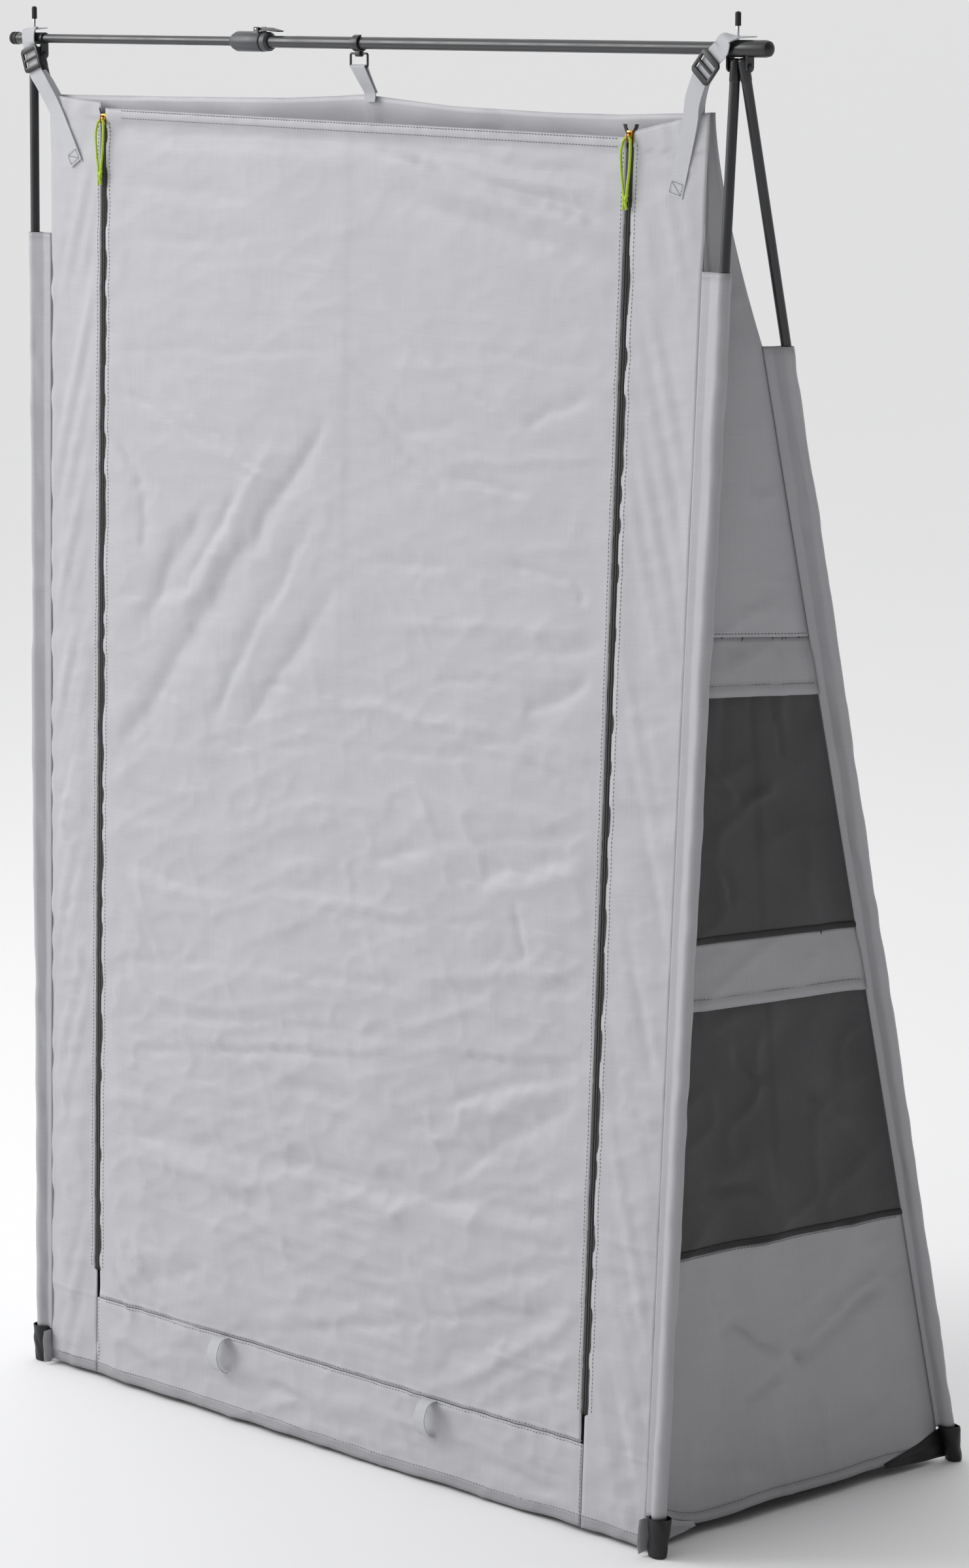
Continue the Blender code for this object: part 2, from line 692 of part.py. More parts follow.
def build_rear_wall():
    """The rear wall, held up at its middle by the centre strap."""
    rows = []
    columns = 13
    sleeved = spaced(SIDE_FOOT_Z, REAR_SLEEVE_TOP_Z, 8)
    closing = spaced(REAR_SLEEVE_TOP_Z, CORNER_Z, 6)[1:]
    for z in [*sleeved, *closing]:
        left, right = rear_seam(-1, z), rear_seam(1, z)
        rise = max(0.0, (z - REAR_SLEEVE_TOP_Z) / (CORNER_Z - REAR_SLEEVE_TOP_Z))
        middle_y = lerp(sleeved_rear_seam(1, REAR_SLEEVE_TOP_Z).y, APEX_Y + 0.022, rise)
        lift = (PEAK_Z - CORNER_Z) * max(0.0, rise) ** 3
        row = []
        for share in spaced(0.0, 1.0, columns):
            point = left.lerp(right, share)
            point.x += lerp(1, -1, share) * 3 * SEAM_GAP
            point.y += 2 * SEAM_GAP
            centred = 1 - abs(2 * share - 1)
            if rise > 0:
                point.y += (middle_y - left.y) * (1 - (2 * share - 1) ** 2)
            point.z += lift * centred**2
            row.append(point)
        rows.append(row)
    sheet("rear_panel", rows, "wall_fabric")


def side_area(name, side, upper, lower, material, rows=4, stand_off=0.0):
    """The part of a side wall between two cross seams, which drop a little towards the rear."""
    grid = []
    for level in spaced(0.0, 1.0, rows):
        row = []
        for share in spaced(0.0, 1.0, 5):
            drop = SIDE_DROP * share
            z = lerp(lower[0] - drop * lower[1], upper[0] - drop * upper[1], level)
            row.append(wall_point(side, share, z, stand_off))
        grid.append(row)
    return sheet(name, grid, material)


def build_side_wall(side_name):
    """A side wall: two mesh windows under their flaps, between an upper and a lower panel."""
    side = SIDES[side_name]
    gap = SEAM_GAP
    top = (CORNER_Z, 0)
    side_area(f"side_upper_{side_name}", side, top, (UPPER_FLAP_Z[0] + gap, 1), "wall_fabric", rows=10)
    side_area(
        f"side_mesh_upper_{side_name}", side,
        (UPPER_FLAP_Z[0] - gap, 1), (UPPER_MESH_FOOT_Z + gap, 1), "mesh_fabric", rows=5,
    )
    side_area(
        f"side_mesh_lower_{side_name}", side,
        (LOWER_FLAP_Z[0] - gap, 1), (LOWER_MESH_FOOT_Z + gap, 1), "mesh_fabric", rows=5,
    )
    for level, (upper, lower) in (("upper", UPPER_FLAP_Z), ("lower", LOWER_FLAP_Z)):
        side_area(
            f"side_flap_{level}_{side_name}", side,
            (upper - gap, 1), (lower, 1), "wall_fabric", rows=3, stand_off=FLAP_STAND_OFF,
        )
    side_area(
        f"side_lower_{side_name}", side,
        (LOWER_MESH_FOOT_Z - gap, 1), (SIDE_FOOT_Z, 0), "wall_fabric", rows=5,
    )


def teardrop(centre, towards, radius, reach, half_tail, steps=14):
    """A ring round a leg, drawn out along the given direction to a flat tail that it meets as a tangent."""
    along = Vector((towards[0], towards[1], 0)).normalized()
    across = Vector((-along.y, along.x, 0))
    tail_start = max(0.55 * reach, radius + 0.003)
    apart = math.hypot(tail_start, half_tail)
    first = math.atan2(half_tail, tail_start) + math.acos(radius / apart)
    points = []
    for turn in spaced(first, 2 * math.pi - first, steps + 1):
        points.append(centre + along * radius * math.cos(turn) + across * radius * math.sin(turn))
    for distance, sign in ((tail_start, -1), (reach, -1), (reach, 1), (tail_start, 1)):
        points.append(centre + along * distance + across * sign * half_tail)
    return points


def build_sleeve(name, levels, centre_at, seam_at):
    """A fabric channel round a leg, sewn to the cover along its tail."""
    wall = FABRIC
    outer, inner = [], []
    for z in levels:
        centre, seam = centre_at(z), seam_at(z)
        towards = seam - centre
        towards.z = 0
        reach = towards.length - SEAM_GAP
        outer.append(teardrop(centre, towards, SLEEVE_RADIUS, reach, 0.0013))
        inner.append(teardrop(centre, towards, SLEEVE_RADIUS - wall, reach - 0.003, 0.0013 - wall))
    return loft(name, outer + inner[::-1], "sleeve_fabric", closed_on_itself=True)


def build_sleeves():
    """A sleeve for each leg."""
    foot = BOOT_HEIGHT + 0.0015
    for side_name, side in SIDES.items():
        build_sleeve(
            f"front_sleeve_{side_name}",
            spaced(foot, FRONT_SLEEVE_TOP_Z, 4),
            lambda z, s=side: Vector((leg_x(s, z), front_y(z), z)),
            lambda z, s=side: front_seam(s, z),
        )
        build_sleeve(
            f"rear_sleeve_{side_name}",
            spaced(foot, REAR_SLEEVE_TOP_Z, 4),
            lambda z, s=side: Vector((leg_x(s, z) + REAR_SHIFT, rear_y(z), z)),
            lambda z, s=side: sleeved_rear_seam(s, z),
        )


def zip_direction(side):
    """Down a zip, from its top to its lower end."""
    top = Vector((zip_x(side, DOOR_TOP_Z), front_y(DOOR_TOP_Z), DOOR_TOP_Z))
    foot = Vector((zip_x(side, ZIP_FOOT_Z), front_y(ZIP_FOOT_Z), ZIP_FOOT_Z))
    return top, (foot - top).normalized()


def build_zip(side_name):
    """A zip's two halves: one sewn to the door, one to the strip beside it."""
    side = SIDES[side_name]
    for half, sign in (("door", -side), ("frame", side)):
        near, far = ZIP_SPLIT / 2, ZIP_SPLIT / 2 + TAPE_WIDTH
        rows = [
            [Vector((zip_x(side, z) + sign * x, front_y(z), z)) for x in (near, far)]
            for z in (ZIP_FOOT_Z, DOOR_TOP_Z)
        ]
        sheet(f"zip_{side_name}_{half}_half", rows, "zip_tape", TAPE_THICKNESS)


def build_slider(side_name):
    """A slider whose two plates run over the zip, joined by a thin bridge, with a bail in front."""
    side = SIDES[side_name]
    top, down = zip_direction(side)
    length, half_width, plate_thickness = 0.0150, 0.0046, 0.0014
    inner = TAPE_THICKNESS / 2 + SLIDE_GAP
    outer = inner + plate_thickness
    bridge = 0.00022
    section = [
        (-half_width, -outer), (half_width, -outer), (half_width, -inner), (bridge, -inner),
        (bridge, inner), (half_width, inner), (half_width, outer), (-half_width, outer),
        (-half_width, inner), (-bridge, inner), (-bridge, -inner), (-half_width, -inner),
    ]
    start = top + down * 0.002
    across = Vector((1, 0, 0)) - down * down.x
    across.normalize()
    back = down.cross(across).normalized()
    if back.y < 0:
        back = -back
    rings = [
        [start + down * s + across * a + back * b for a, b in section] for s in (0, length)
    ]
    slider = loft(f"zip_slider_{side_name}", rings, "brass", origin=start)
    bail_depth, bail_half = 0.0068, BAIL_HALF_WIDTH
    eye = (0.0021, bail_depth)
    arch = [(0, 0), (0.0105, 0), (0.0105, bail_depth * 0.6), (0.0085, bail_depth), (0.002, bail_depth),
            (0, bail_depth * 0.6)]
    holes = [(eye[0], 0.0010), (0.0084, 0.0010), (0.0084, 0.0048), (0.0074, 0.0054), (0.0030, 0.0054),
             (eye[0], 0.0048)]
    base = start + down * 0.0022 - back * (outer - 0.0002)
    bail = loft(
        f"join_bail_{side_name}",
        [[base + down * a - back * b + across * s for a, b in arch] for s in (-bail_half, bail_half)],
        "brass",
    )
    bail_eye = loft(
        f"cut_bail_{side_name}",
        [[base + down * a - back * b + across * s for a, b in holes] for s in (-0.004, 0.004)],
        "brass",
    )
    combine(bail, "DIFFERENCE", [bail_eye])
    combine(slider, "UNION", [bail])
    return base, down, back, across


def smooth_route(points, steps):
    """Points on a smooth curve through the given ones, with some steps between each two."""
    route = []
    for i in range(len(points) - 1):
        before, start = points[max(i - 1, 0)], points[i]
        end, after = points[i + 1], points[min(i + 2, len(points) - 1)]
        for step in range(steps):
            t = step / steps
            route.append(
                0.5 * (
                    2 * start + (end - before) * t
                    + (2 * before - 5 * start + 4 * end - after) * t**2
                    + (3 * start - before - 3 * end + after) * t**3
                )
            )
    return [*route, points[-1]]


def build_pull_cord(side_name, base, down, back, across):
    """A cord looped through the slider's bail: it leaves one side of the bail and comes back to the other."""
    eye = base + down * 0.0062 - back * 0.0034
    start = BAIL_HALF_WIDTH + FIT_GAP
    strand = [
        (start, 0, 0), (0.0027, 0.0004, 0.0001), (0.0054, 0.0042, 0.0010), (0.0072, 0.0200, 0.0030),
        (0.0060, 0.0420, 0.0036), (0.0036, 0.0600, 0.0040), (CORD_RADIUS * 1.4, 0.0715, 0.0042),
        (CORD_RADIUS, 0.0735, 0.0042),
    ]
    turn = [(0, 0.0742, 0.0042)]
    sway = 1.2
    other = [(-a * (sway if 0.004 < drop < 0.07 else 1), drop, out) for a, drop, out in reversed(strand)]
    points = [
        eye + across * a + Vector((0, 0, -drop)) - back * out for a, drop, out in strand + turn + other
    ]
    curve = bpy.data.curves.new(f"pull_cord_{side_name}", "CURVE")
    curve.dimensions = "3D"
    curve.bevel_depth = CORD_RADIUS
    curve.bevel_resolution = 2
    curve.use_fill_caps = True
    route = smooth_route(points, 3)
    spline = curve.splines.new("POLY")
    spline.points.add(len(route) - 1)
    for point, place in zip(spline.points, route):
        point.co = (*place, 1)
    return add_object(f"pull_cord_{side_name}", curve, "neon_cord")


def build_zips():
    """Both zips, their sliders and the pull cords."""
    for side_name in SIDES:
        build_zip(side_name)
        build_pull_cord(side_name, *build_slider(side_name))


# ---- Straps -------------------------------------------------------------------------------------------
def build_corner_strap(side_name, route):
    """A strap from its spike over the rail, through a ladder-lock buckle, to the cover's face."""
    side = SIDES[side_name]
    front = (0, -1, 0)
    rise = RIGHT_FITTING_RADIUS + 0.0029
    stand_off = Vector((0, -RIGHT_FITTING_RADIUS - 0.0045, 0))
    corner = Vector((leg_x(side, RAIL_HEIGHT), APEX_Y, RAIL_HEIGHT))
    spike = Vector((spike_x(side), APEX_Y, RAIL_HEIGHT + rise))
    upper = corner + stand_off + Vector(route["buckle_top"])
    lower = corner + stand_off + Vector(route["buckle_foot"])
    centre = (upper + lower) / 2
    along = (lower - upper).normalized()
    bar_pitch, bar_half, plate_thickness = 0.0115, 0.0015, 0.0030
    half_height = bar_pitch + 0.0058
    weave = (plate_thickness + WEBBING_THICKNESS) / 2 + 0.00045
    over_bar, behind_bar = bar_half + 0.0009, bar_pitch - 0.0024
    stations = [
        (spike + Vector(route["tail"]), (0, 0, 1)),
        (spike, (0, 0, 1)),
        (spike + Vector(route["over"]), (0, -0.7, 0.7)),
        (upper.lerp(spike, 0.45) + Vector((0, -0.0055, -0.0005)), front),
    ]
    for reach, depth in (
        (-half_height - 0.0025, weave), (-behind_bar, weave), (-over_bar, -weave),
        (over_bar, -weave), (behind_bar, weave), (half_height + 0.0025, weave),
    ):
        stations.append((centre + along * reach + Vector((0, depth, 0)), front))
    for x, drop, stand in route["below"]:
        z = RAIL_HEIGHT - drop
        stations.append((Vector((corner.x + x, front_y(z) - stand, z)), front))
    strap = ribbon(
        f"corner_strap_{side_name}",
        [(point, normal, WEBBING_WIDTH) for point, normal in stations],
        "webbing",
    )
    eye_radius = SPIKE_RADIUS + 2 * FIT_GAP
    eye = turned(
        f"cut_eye_{side_name}", spike - Vector((0, 0, 0.01)), (0, 0, 1),
        [(0, eye_radius), (0.02, eye_radius)], "steel", count=16,
    )
    combine(strap, "DIFFERENCE", [eye])
    half_width = WEBBING_WIDTH / 2 + 0.0048
    slot_half = (bar_pitch - 2 * bar_half) / 2
    slot_half_width = WEBBING_WIDTH / 2 + 0.0008
    outlines = [
        rounded(half_width, half_height, 0.006),
        rounded(slot_half_width, slot_half, 0.001, centre=(0, bar_pitch / 2)),
        rounded(slot_half_width, slot_half, 0.001, centre=(0, -bar_pitch / 2)),
    ]
    across = along.cross(Vector(front)).normalized()
    placing = frame_at(centre, across, -along)
    plate(f"buckle_{side_name}", outlines, plate_thickness, placing, "black_plastic")


def build_corner_straps():
    """The two straps that hang the cover's corners from the spikes."""
    routes = {
        "right": {
            "tail": (0.018, 0.010, 0.0006),
            "over": (-0.0100, -0.0115, -0.0012),
            "buckle_top": (-0.0245, 0, -0.0100),
            "buckle_foot": (-0.0470, 0, -0.0360),
            "below": ((-0.060, 0.064, 0.0100), (-0.0695, 0.095, 0.0040), (-0.0908, 0.180, 0.0028)),
        },
        "left": {
            "tail": (0.012, 0.012, 0.0006),
            "over": (0.0010, -0.0110, -0.0012),
            "buckle_top": (0.0070, 0, -0.0130),
            "buckle_foot": (0.0175, 0, -0.0430),
            "below": ((0.031, 0.062, 0.0100), (0.055, 0.100, 0.0040), (0.0990, 0.171, 0.0028)),
        },
    }
    for side_name, route in routes.items():
        build_corner_strap(side_name, route)


def build_hanger():
    """The clip on the rail, its ring and the strap up from the rear wall's middle."""
    x = CENTRE_X + 0.002
    inner, outer = OUTER_RAIL_RADIUS + SLIDE_GAP, OUTER_RAIL_RADIUS + SLIDE_GAP + 0.0026
    ring_wire = 0.0015
    eye_drop = outer + ring_wire + 0.0010
    opening = math.radians(38)
    arc = [opening + (2 * math.pi - 2 * opening) * i / 28 for i in range(29)]
    start = math.radians(60)
    outline = [(outer * math.cos(start - t), outer * math.sin(start - t)) for t in arc]
    outline += [(inner * math.cos(start - t), inner * math.sin(start - t)) for t in reversed(arc)]
    placing = frame_at((x, APEX_Y, RAIL_HEIGHT), (0, 1, 0), (0, 0, 1))
    width = 0.0120

    def across(points, half):
        return [[placing @ Vector((a, b, s * half)) for a, b in points] for s in (-1, 1)]

    clip = loft("rail_clip", across(outline, width / 2), "black_plastic")
    boss = rounded(0.0040, 0.0042, 0.0025, centre=(0, -eye_drop))
    combine(clip, "UNION", [loft("join_clip_boss", across(boss, 0.0045), "black_plastic")])
    hole = [(0.0019 * math.cos(2 * math.pi * i / 16), -eye_drop + 0.0019 * math.sin(2 * math.pi * i / 16))
            for i in range(16)]
    combine(clip, "DIFFERENCE", [loft("cut_clip_eye", across(hole, 0.02), "black_plastic")])

    eye_z = RAIL_HEIGHT - eye_drop
    ring_half, ring_height = CENTRE_STRAP_WIDTH / 2 + 0.0028, 0.0175
    curve = bpy.data.curves.new("strap_ring", "CURVE")
    curve.dimensions = "3D"
    curve.bevel_depth = ring_wire
    curve.bevel_resolution = 3
    spline = curve.splines.new("POLY")
    outline = rounded(ring_half, ring_height / 2, 0.0024)
    spline.points.add(len(outline) - 1)
    for point, (a, b) in zip(spline.points, outline):
        point.co = (x + a, APEX_Y, eye_z - ring_height / 2 + b, 1)
    spline.use_cyclic_u = True
    add_object("strap_ring", curve, "black_plastic")

    bar_z = eye_z - ring_height
    wrap = ring_wire + WEBBING_THICKNESS / 2 + 0.0005
    foot_y = APEX_Y + 0.022
    foot_z = PEAK_Z + 0.0024
    widths = [CENTRE_STRAP_WIDTH * share for share in (0.78, 0.91, 1)]
    stations = [
        (Vector((x, foot_y - 0.0030, foot_z)), (0, -1, 0), widths[0]),
        (Vector((x, lerp(foot_y, APEX_Y, 0.5) - 0.0028, lerp(foot_z, bar_z, 0.5))), (0, -1, 0), widths[1]),
    ]
    for i in range(7):
        turn = math.pi * i / 6
        point = Vector((x, APEX_Y - wrap * math.cos(turn), bar_z + wrap * math.sin(turn)))
        normal = (0, -math.cos(turn), math.sin(turn))
        stations.append((point, normal, widths[2]))
    stations.append(
        (Vector((x, lerp(foot_y, APEX_Y, 0.5) + 0.0012, lerp(foot_z, bar_z, 0.5))), (0, 1, 0), widths[1])
    )
    stations.append((Vector((x, foot_y + 0.0010, foot_z + 0.0004)), (0, 1, 0), widths[0]))
    ribbon("centre_strap", stations, "webbing")


def build_door_ties():
    """The two loops on the sill's seam that hold the door when it is rolled down."""
    for side_name, x in zip(("left", "right"), DOOR_TIE_X):
        top, stand, bulge, length = DOOR_SEAM_Z - 0.002, 0.0022, 0.0120, 0.055
        stations = []
        for share, out in ((0, 0), (0.25, 0.55), (0.6, 1), (0.85, 0.75), (1, 0.35)):
            z = top - length * share
            y = front_y(z) - stand - bulge * out
            stations.append((Vector((CENTRE_X + x, y, z)), (0, -1, 0), 0.020))
        ribbon(f"door_tie_{side_name}", stations, "webbing", 0.0012)


def main():
    """Builds every piece."""
    clear_scene()
    make_materials()
    build_rails()
    build_fittings()
    for side_name in SIDES:
        build_spike(side_name)
        build_pivot_pin(side_name)
    build_legs()
    build_collar()
    build_front_wall()
    build_rear_wall()
    for side_name in SIDES:
        build_side_wall(side_name)
    build_sleeves()
    build_zips()
    build_corner_straps()
    build_hanger()
    build_door_ties()


main()
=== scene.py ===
"""Looks of a privacy shower tent: a taffeta cover hung in a folding A-frame of tubes under a telescopic rail.

The door faces -Y, X runs along the rail towards its wide tube, and the feet stand on z = 0. Lengths are in metres.
"""

import json
import logging
import math
from collections.abc import Callable, Sequence
from dataclasses import dataclass
from enum import Enum

import bpy
import numpy as np
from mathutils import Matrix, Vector

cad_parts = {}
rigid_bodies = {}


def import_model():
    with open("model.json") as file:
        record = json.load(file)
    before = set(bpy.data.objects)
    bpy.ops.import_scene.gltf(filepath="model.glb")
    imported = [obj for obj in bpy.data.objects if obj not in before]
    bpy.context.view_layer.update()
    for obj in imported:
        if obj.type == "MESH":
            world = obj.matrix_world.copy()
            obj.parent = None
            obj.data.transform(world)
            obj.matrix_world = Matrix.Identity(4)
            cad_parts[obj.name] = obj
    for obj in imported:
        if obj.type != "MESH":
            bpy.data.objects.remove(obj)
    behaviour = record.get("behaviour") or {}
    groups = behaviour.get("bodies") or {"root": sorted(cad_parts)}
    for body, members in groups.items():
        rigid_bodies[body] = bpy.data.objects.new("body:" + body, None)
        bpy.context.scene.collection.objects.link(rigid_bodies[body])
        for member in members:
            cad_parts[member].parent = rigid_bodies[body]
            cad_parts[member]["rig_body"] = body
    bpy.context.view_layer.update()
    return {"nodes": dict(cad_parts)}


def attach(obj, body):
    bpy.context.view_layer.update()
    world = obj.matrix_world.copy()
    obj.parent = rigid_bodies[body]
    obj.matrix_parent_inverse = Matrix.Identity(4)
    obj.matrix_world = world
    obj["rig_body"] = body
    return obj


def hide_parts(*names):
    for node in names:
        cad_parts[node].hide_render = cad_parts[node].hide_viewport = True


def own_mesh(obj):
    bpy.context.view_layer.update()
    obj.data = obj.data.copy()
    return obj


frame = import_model()

LOG = logging.getLogger("shower_tent")
MM = 0.001
Array = np.ndarray


class Side(Enum):
    """The two ends of the rail."""

    LEFT = -1
    RIGHT = 1

    @property
    def word(self) -> str:
        """The side's name as the nodes spell it."""
        return self.name.lower()


# ---- Numbers and patterns -----------------------------------------------------------------------------
def linear(hex_colour: str) -> tuple[float, float, float, float]:
    """Turns an sRGB colour into the linear one that a shader takes.

    Args:
        hex_colour: Six hex digits, such as "bdbdc2".

    Returns:
        Red, green, blue and an alpha of one.
    """
    channels = [int(hex_colour[i : i + 2], 16) / 255 for i in (0, 2, 4)]
    r, g, b = (c / 12.92 if c <= 0.04045 else ((c + 0.055) / 1.055) ** 2.4 for c in channels)
    return r, g, b, 1.0


def smooth_step(low: float | Array, high: float | Array, value: Array) -> Array:
    """Rises smoothly from 0 to 1 between two limits.

    Args:
        low: Where the rise starts.
        high: Where it ends.
        value: Where to read it.

    Returns:
        The height of the rise at each value.
    """
    share = np.clip((value - low) / (high - low), 0, 1)
    return share * share * (3 - 2 * share)


def mix(start: float | Array, end: float | Array, share: float | Array) -> float | Array:
    """The value a share of the way from start to end."""
    return start + (end - start) * share


def joined(*parts: float | Array) -> Array:
    """Stacks X, Y and Z arrays or numbers into points.

    Args:
        parts: Three arrays or numbers that broadcast together.

    Returns:
        One row for each point.
    """
    return np.stack(np.broadcast_arrays(*parts), axis=-1).astype(float)


class Wander:
    """Smooth seeded noise over a plane, between -1 and 1."""

    SIZE = 256

    def __init__(self, seed: int) -> None:
        """Draws the lattice.

        Args:
            seed: Picks the pattern.
        """
        self.lattice = np.random.default_rng(seed).uniform(-1, 1, (self.SIZE, self.SIZE))

    def at(self, x: Array, y: Array) -> Array:
        """Reads the noise.

        Args:
            x: First coordinate, one unit for each bump.
            y: Second coordinate.

        Returns:
            The noise at each point.
        """
        column, row = np.floor(x).astype(int), np.floor(y).astype(int)
        fx, fy = x - column, y - row
        fx, fy = (f**3 * (f * (f * 6 - 15) + 10) for f in (fx, fy))
        left, right = column % self.SIZE, (column + 1) % self.SIZE
        low, high = row % self.SIZE, (row + 1) % self.SIZE
        table = self.lattice
        return mix(
            mix(table[left, low], table[right, low], fx),
            mix(table[left, high], table[right, high], fx),
            fy,
        )


# ---- Where the legs, seams and zips run ----------------------------------------------------------------
@dataclass(frozen=True)
class Layout:
    """Where the legs, seams and zips run. Sides are -1 for the left end and 1 for the right."""

    rail_height: float = 1.900
    rail_span: float = 1.326
    foot_span: float = 1.220
    front_reach: float = 0.065
    rear_reach: float = 0.510
    pin_z: float = 1.878
    centre_x: float = -0.006
    apex_y: float = -0.2225
    rear_shift: float = 0.0145
    zip_foot_z: float = 0.161
    zip_top_z: float = 1.800
    zip_shift: float = -0.008
    zip_top_inset: float = 0.1597
    zip_foot_inset: float = 0.1308
    corner_z: float = 1.8225
    front_sleeve_top: float = 1.630
    rear_sleeve_top: float = 1.536
    door_seam_z: float = 0.118
    side_drop: float = 0.015

    def leg_x(self, side: float, z: Array) -> Array:
        """A front leg's axis at height z."""
        return self.centre_x + side * mix(self.foot_span, self.rail_span, z / self.rail_height) / 2

    def front_y(self, z: Array) -> Array:
        """The front wall's plane at height z."""
        return self.apex_y - self.front_reach * (self.pin_z - z) / self.pin_z

    def rear_y(self, z: Array) -> Array:
        """The rear legs' axes at height z."""
        return self.apex_y + self.rear_reach * (self.pin_z - z) / self.pin_z

    def zip_x(self, side: float, z: Array) -> Array:
        """A zip's centre line at height z."""
        share = (z - self.zip_foot_z) / (self.zip_top_z - self.zip_foot_z)
        inset = mix(self.zip_foot_inset, self.zip_top_inset, share)
        return self.leg_x(side, z) + self.zip_shift - side * inset

    def front_seam_x(self, side: float, z: Array) -> Array:
        """The corner seam's X at height z."""
        return self.leg_x(side, z) - side * mix(0.021, 0.036, z / self.front_sleeve_top)

    def front_seam(self, side: float, z: Array) -> Array:
        """Points on the seam between the front wall and a side wall."""
        return joined(self.front_seam_x(side, z), self.front_y(z), z)

    def sleeved_rear_seam(self, side: float, z: Array) -> Array:
        """Points on the seam beside a rear leg's sleeve."""
        reach = mix(0.012, 0.021, z / self.rear_sleeve_top)
        x = self.leg_x(side, z) + self.rear_shift - side * reach
        return joined(x, self.rear_y(z) - reach, z)

    def rise(self, z: Array) -> Array:
        """How far z is from the rear sleeve's top to the cover's corner, from 0 to 1."""
        return np.clip((z - self.rear_sleeve_top) / (self.corner_z - self.rear_sleeve_top), 0, 1)

    def rear_seam(self, side: float, z: Array) -> Array:
        """Finds the seam between a side wall and the rear wall, which closes in to the corner above the sleeve.

        Args:
            side: Which end.
            z: Heights.

        Returns:
            A point for each height.
        """
        z = np.asarray(z, float)
        top = np.full_like(z, self.rear_sleeve_top)
        depth = np.array([0, 0.010, 0])
        across = self.sleeved_rear_seam(side, top) - self.front_seam(side, top) - depth
        closing = ((1 - self.rise(z)) ** 1.4)[..., None]
        above = self.front_seam(side, z) + depth + across * closing
        return np.where((z <= self.rear_sleeve_top)[..., None], self.sleeved_rear_seam(side, z), above)

    def wall_point(self, side: float, share: Array, z: Array, stand_off: float | Array = 0.0) -> Array:
        """Finds a point of a side wall.

        Args:
            side: Which end.
            share: From 0 at the front seam to 1 at the rear seam.
            z: Heights.
            stand_off: How far the point stands outside the wall.

        Returns:
            A point for each share and height.
        """
        start = self.front_seam(side, z) + np.array([0, 0.0008, 0])
        end = self.rear_seam(side, z)
        across = end - start
        outward = joined(across[..., 1], -across[..., 0], 0 * z) * side
        outward /= np.linalg.norm(outward, axis=-1, keepdims=True)
        return start + across * np.asarray(share)[..., None] + outward * np.asarray(stand_off)[..., None]

    def slanted(self, share: Array, z: float) -> Array:
        """A side wall's cross seam, which drops a little towards the rear."""
        return z - self.side_drop * share * (0 if z > 1.5 or z < 0.1 else 1)


# ---- Mesh work ----------------------------------------------------------------------------------------
def only(obj: bpy.types.Object) -> None:
    """Makes one object the selected and active one.

    Args:
        obj: The object to work on next.
    """
    bpy.ops.object.select_all(action="DESELECT")
    bpy.context.view_layer.objects.active = obj
    obj.select_set(True)


def coordinates(obj: bpy.types.Object) -> Array:
    """Reads a mesh's points.

    Args:
        obj: A mesh object.

    Returns:
        One row for each vertex.
    """
    flat = np.empty(len(obj.data.vertices) * 3)
    obj.data.vertices.foreach_get("co", flat)
    return flat.reshape(-1, 3)


def place(obj: bpy.types.Object, points: Array) -> None:
    """Moves a mesh's points.

    Args:
        obj: A mesh object.
        points: One row for each vertex.
    """
    obj.data.vertices.foreach_set("co", np.ascontiguousarray(points, dtype=float).ravel())
    obj.data.update()


def apply_modifier(obj: bpy.types.Object, kind: str, **settings: object) -> None:
    """Adds a modifier with its settings and applies it.

    Args:
        obj: A mesh object.
        kind: The modifier's type.
        settings: Its properties.
    """
    modifier = obj.modifiers.new("shaping", kind)
    for name, value in settings.items():
        setattr(modifier, name, value)
    only(obj)
    bpy.ops.object.modifier_apply(modifier=modifier.name)


def merge_doubles(obj: bpy.types.Object, distance: float = 0.01 * MM) -> None:
    """Joins the points that lie on each other.

    Args:
        obj: A mesh object.
        distance: How near they lie.
    """
    only(obj)
    bpy.ops.object.mode_set(mode="EDIT")
    bpy.ops.mesh.select_all(action="SELECT")
    bpy.ops.mesh.remove_doubles(threshold=distance)
    bpy.ops.object.mode_set(mode="OBJECT")


def shade_smooth(obj: bpy.types.Object, degrees: float | None = None) -> None:
    """Shades a mesh smooth, with its edges over an angle left sharp.

    Args:
        obj: A mesh object.
        degrees: The angle, or None for no sharp edges.
    """
    only(obj)
    if degrees is None:
        bpy.ops.object.shade_smooth()
    else:
        bpy.ops.object.shade_smooth_by_angle(angle=math.radians(degrees))


def dress(
    obj: bpy.types.Object, finish: bpy.types.Material, slot: str, body: str, *replaced: str
) -> bpy.types.Object:
    """Gives a finished piece its material, its body and the nodes that it stands for.

    Args:
        obj: The piece.
        finish: Its material.
        slot: The record's name for that finish; not used.
        body: The body that it rides on.
        replaced: The nodes that it stands for.

    Returns:
        The piece.
    """
    obj.data.materials.clear()
    obj.data.materials.append(finish)
    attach(obj, body)
    if replaced:
        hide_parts(*replaced)
    LOG.info("%s rides on %s", obj.name, body)
    return obj


@dataclass(frozen=True)
class Grid:
    """How finely a cloth is divided, and how big it lies flat."""

    columns: int
    rows: int
    width: float
    length: float


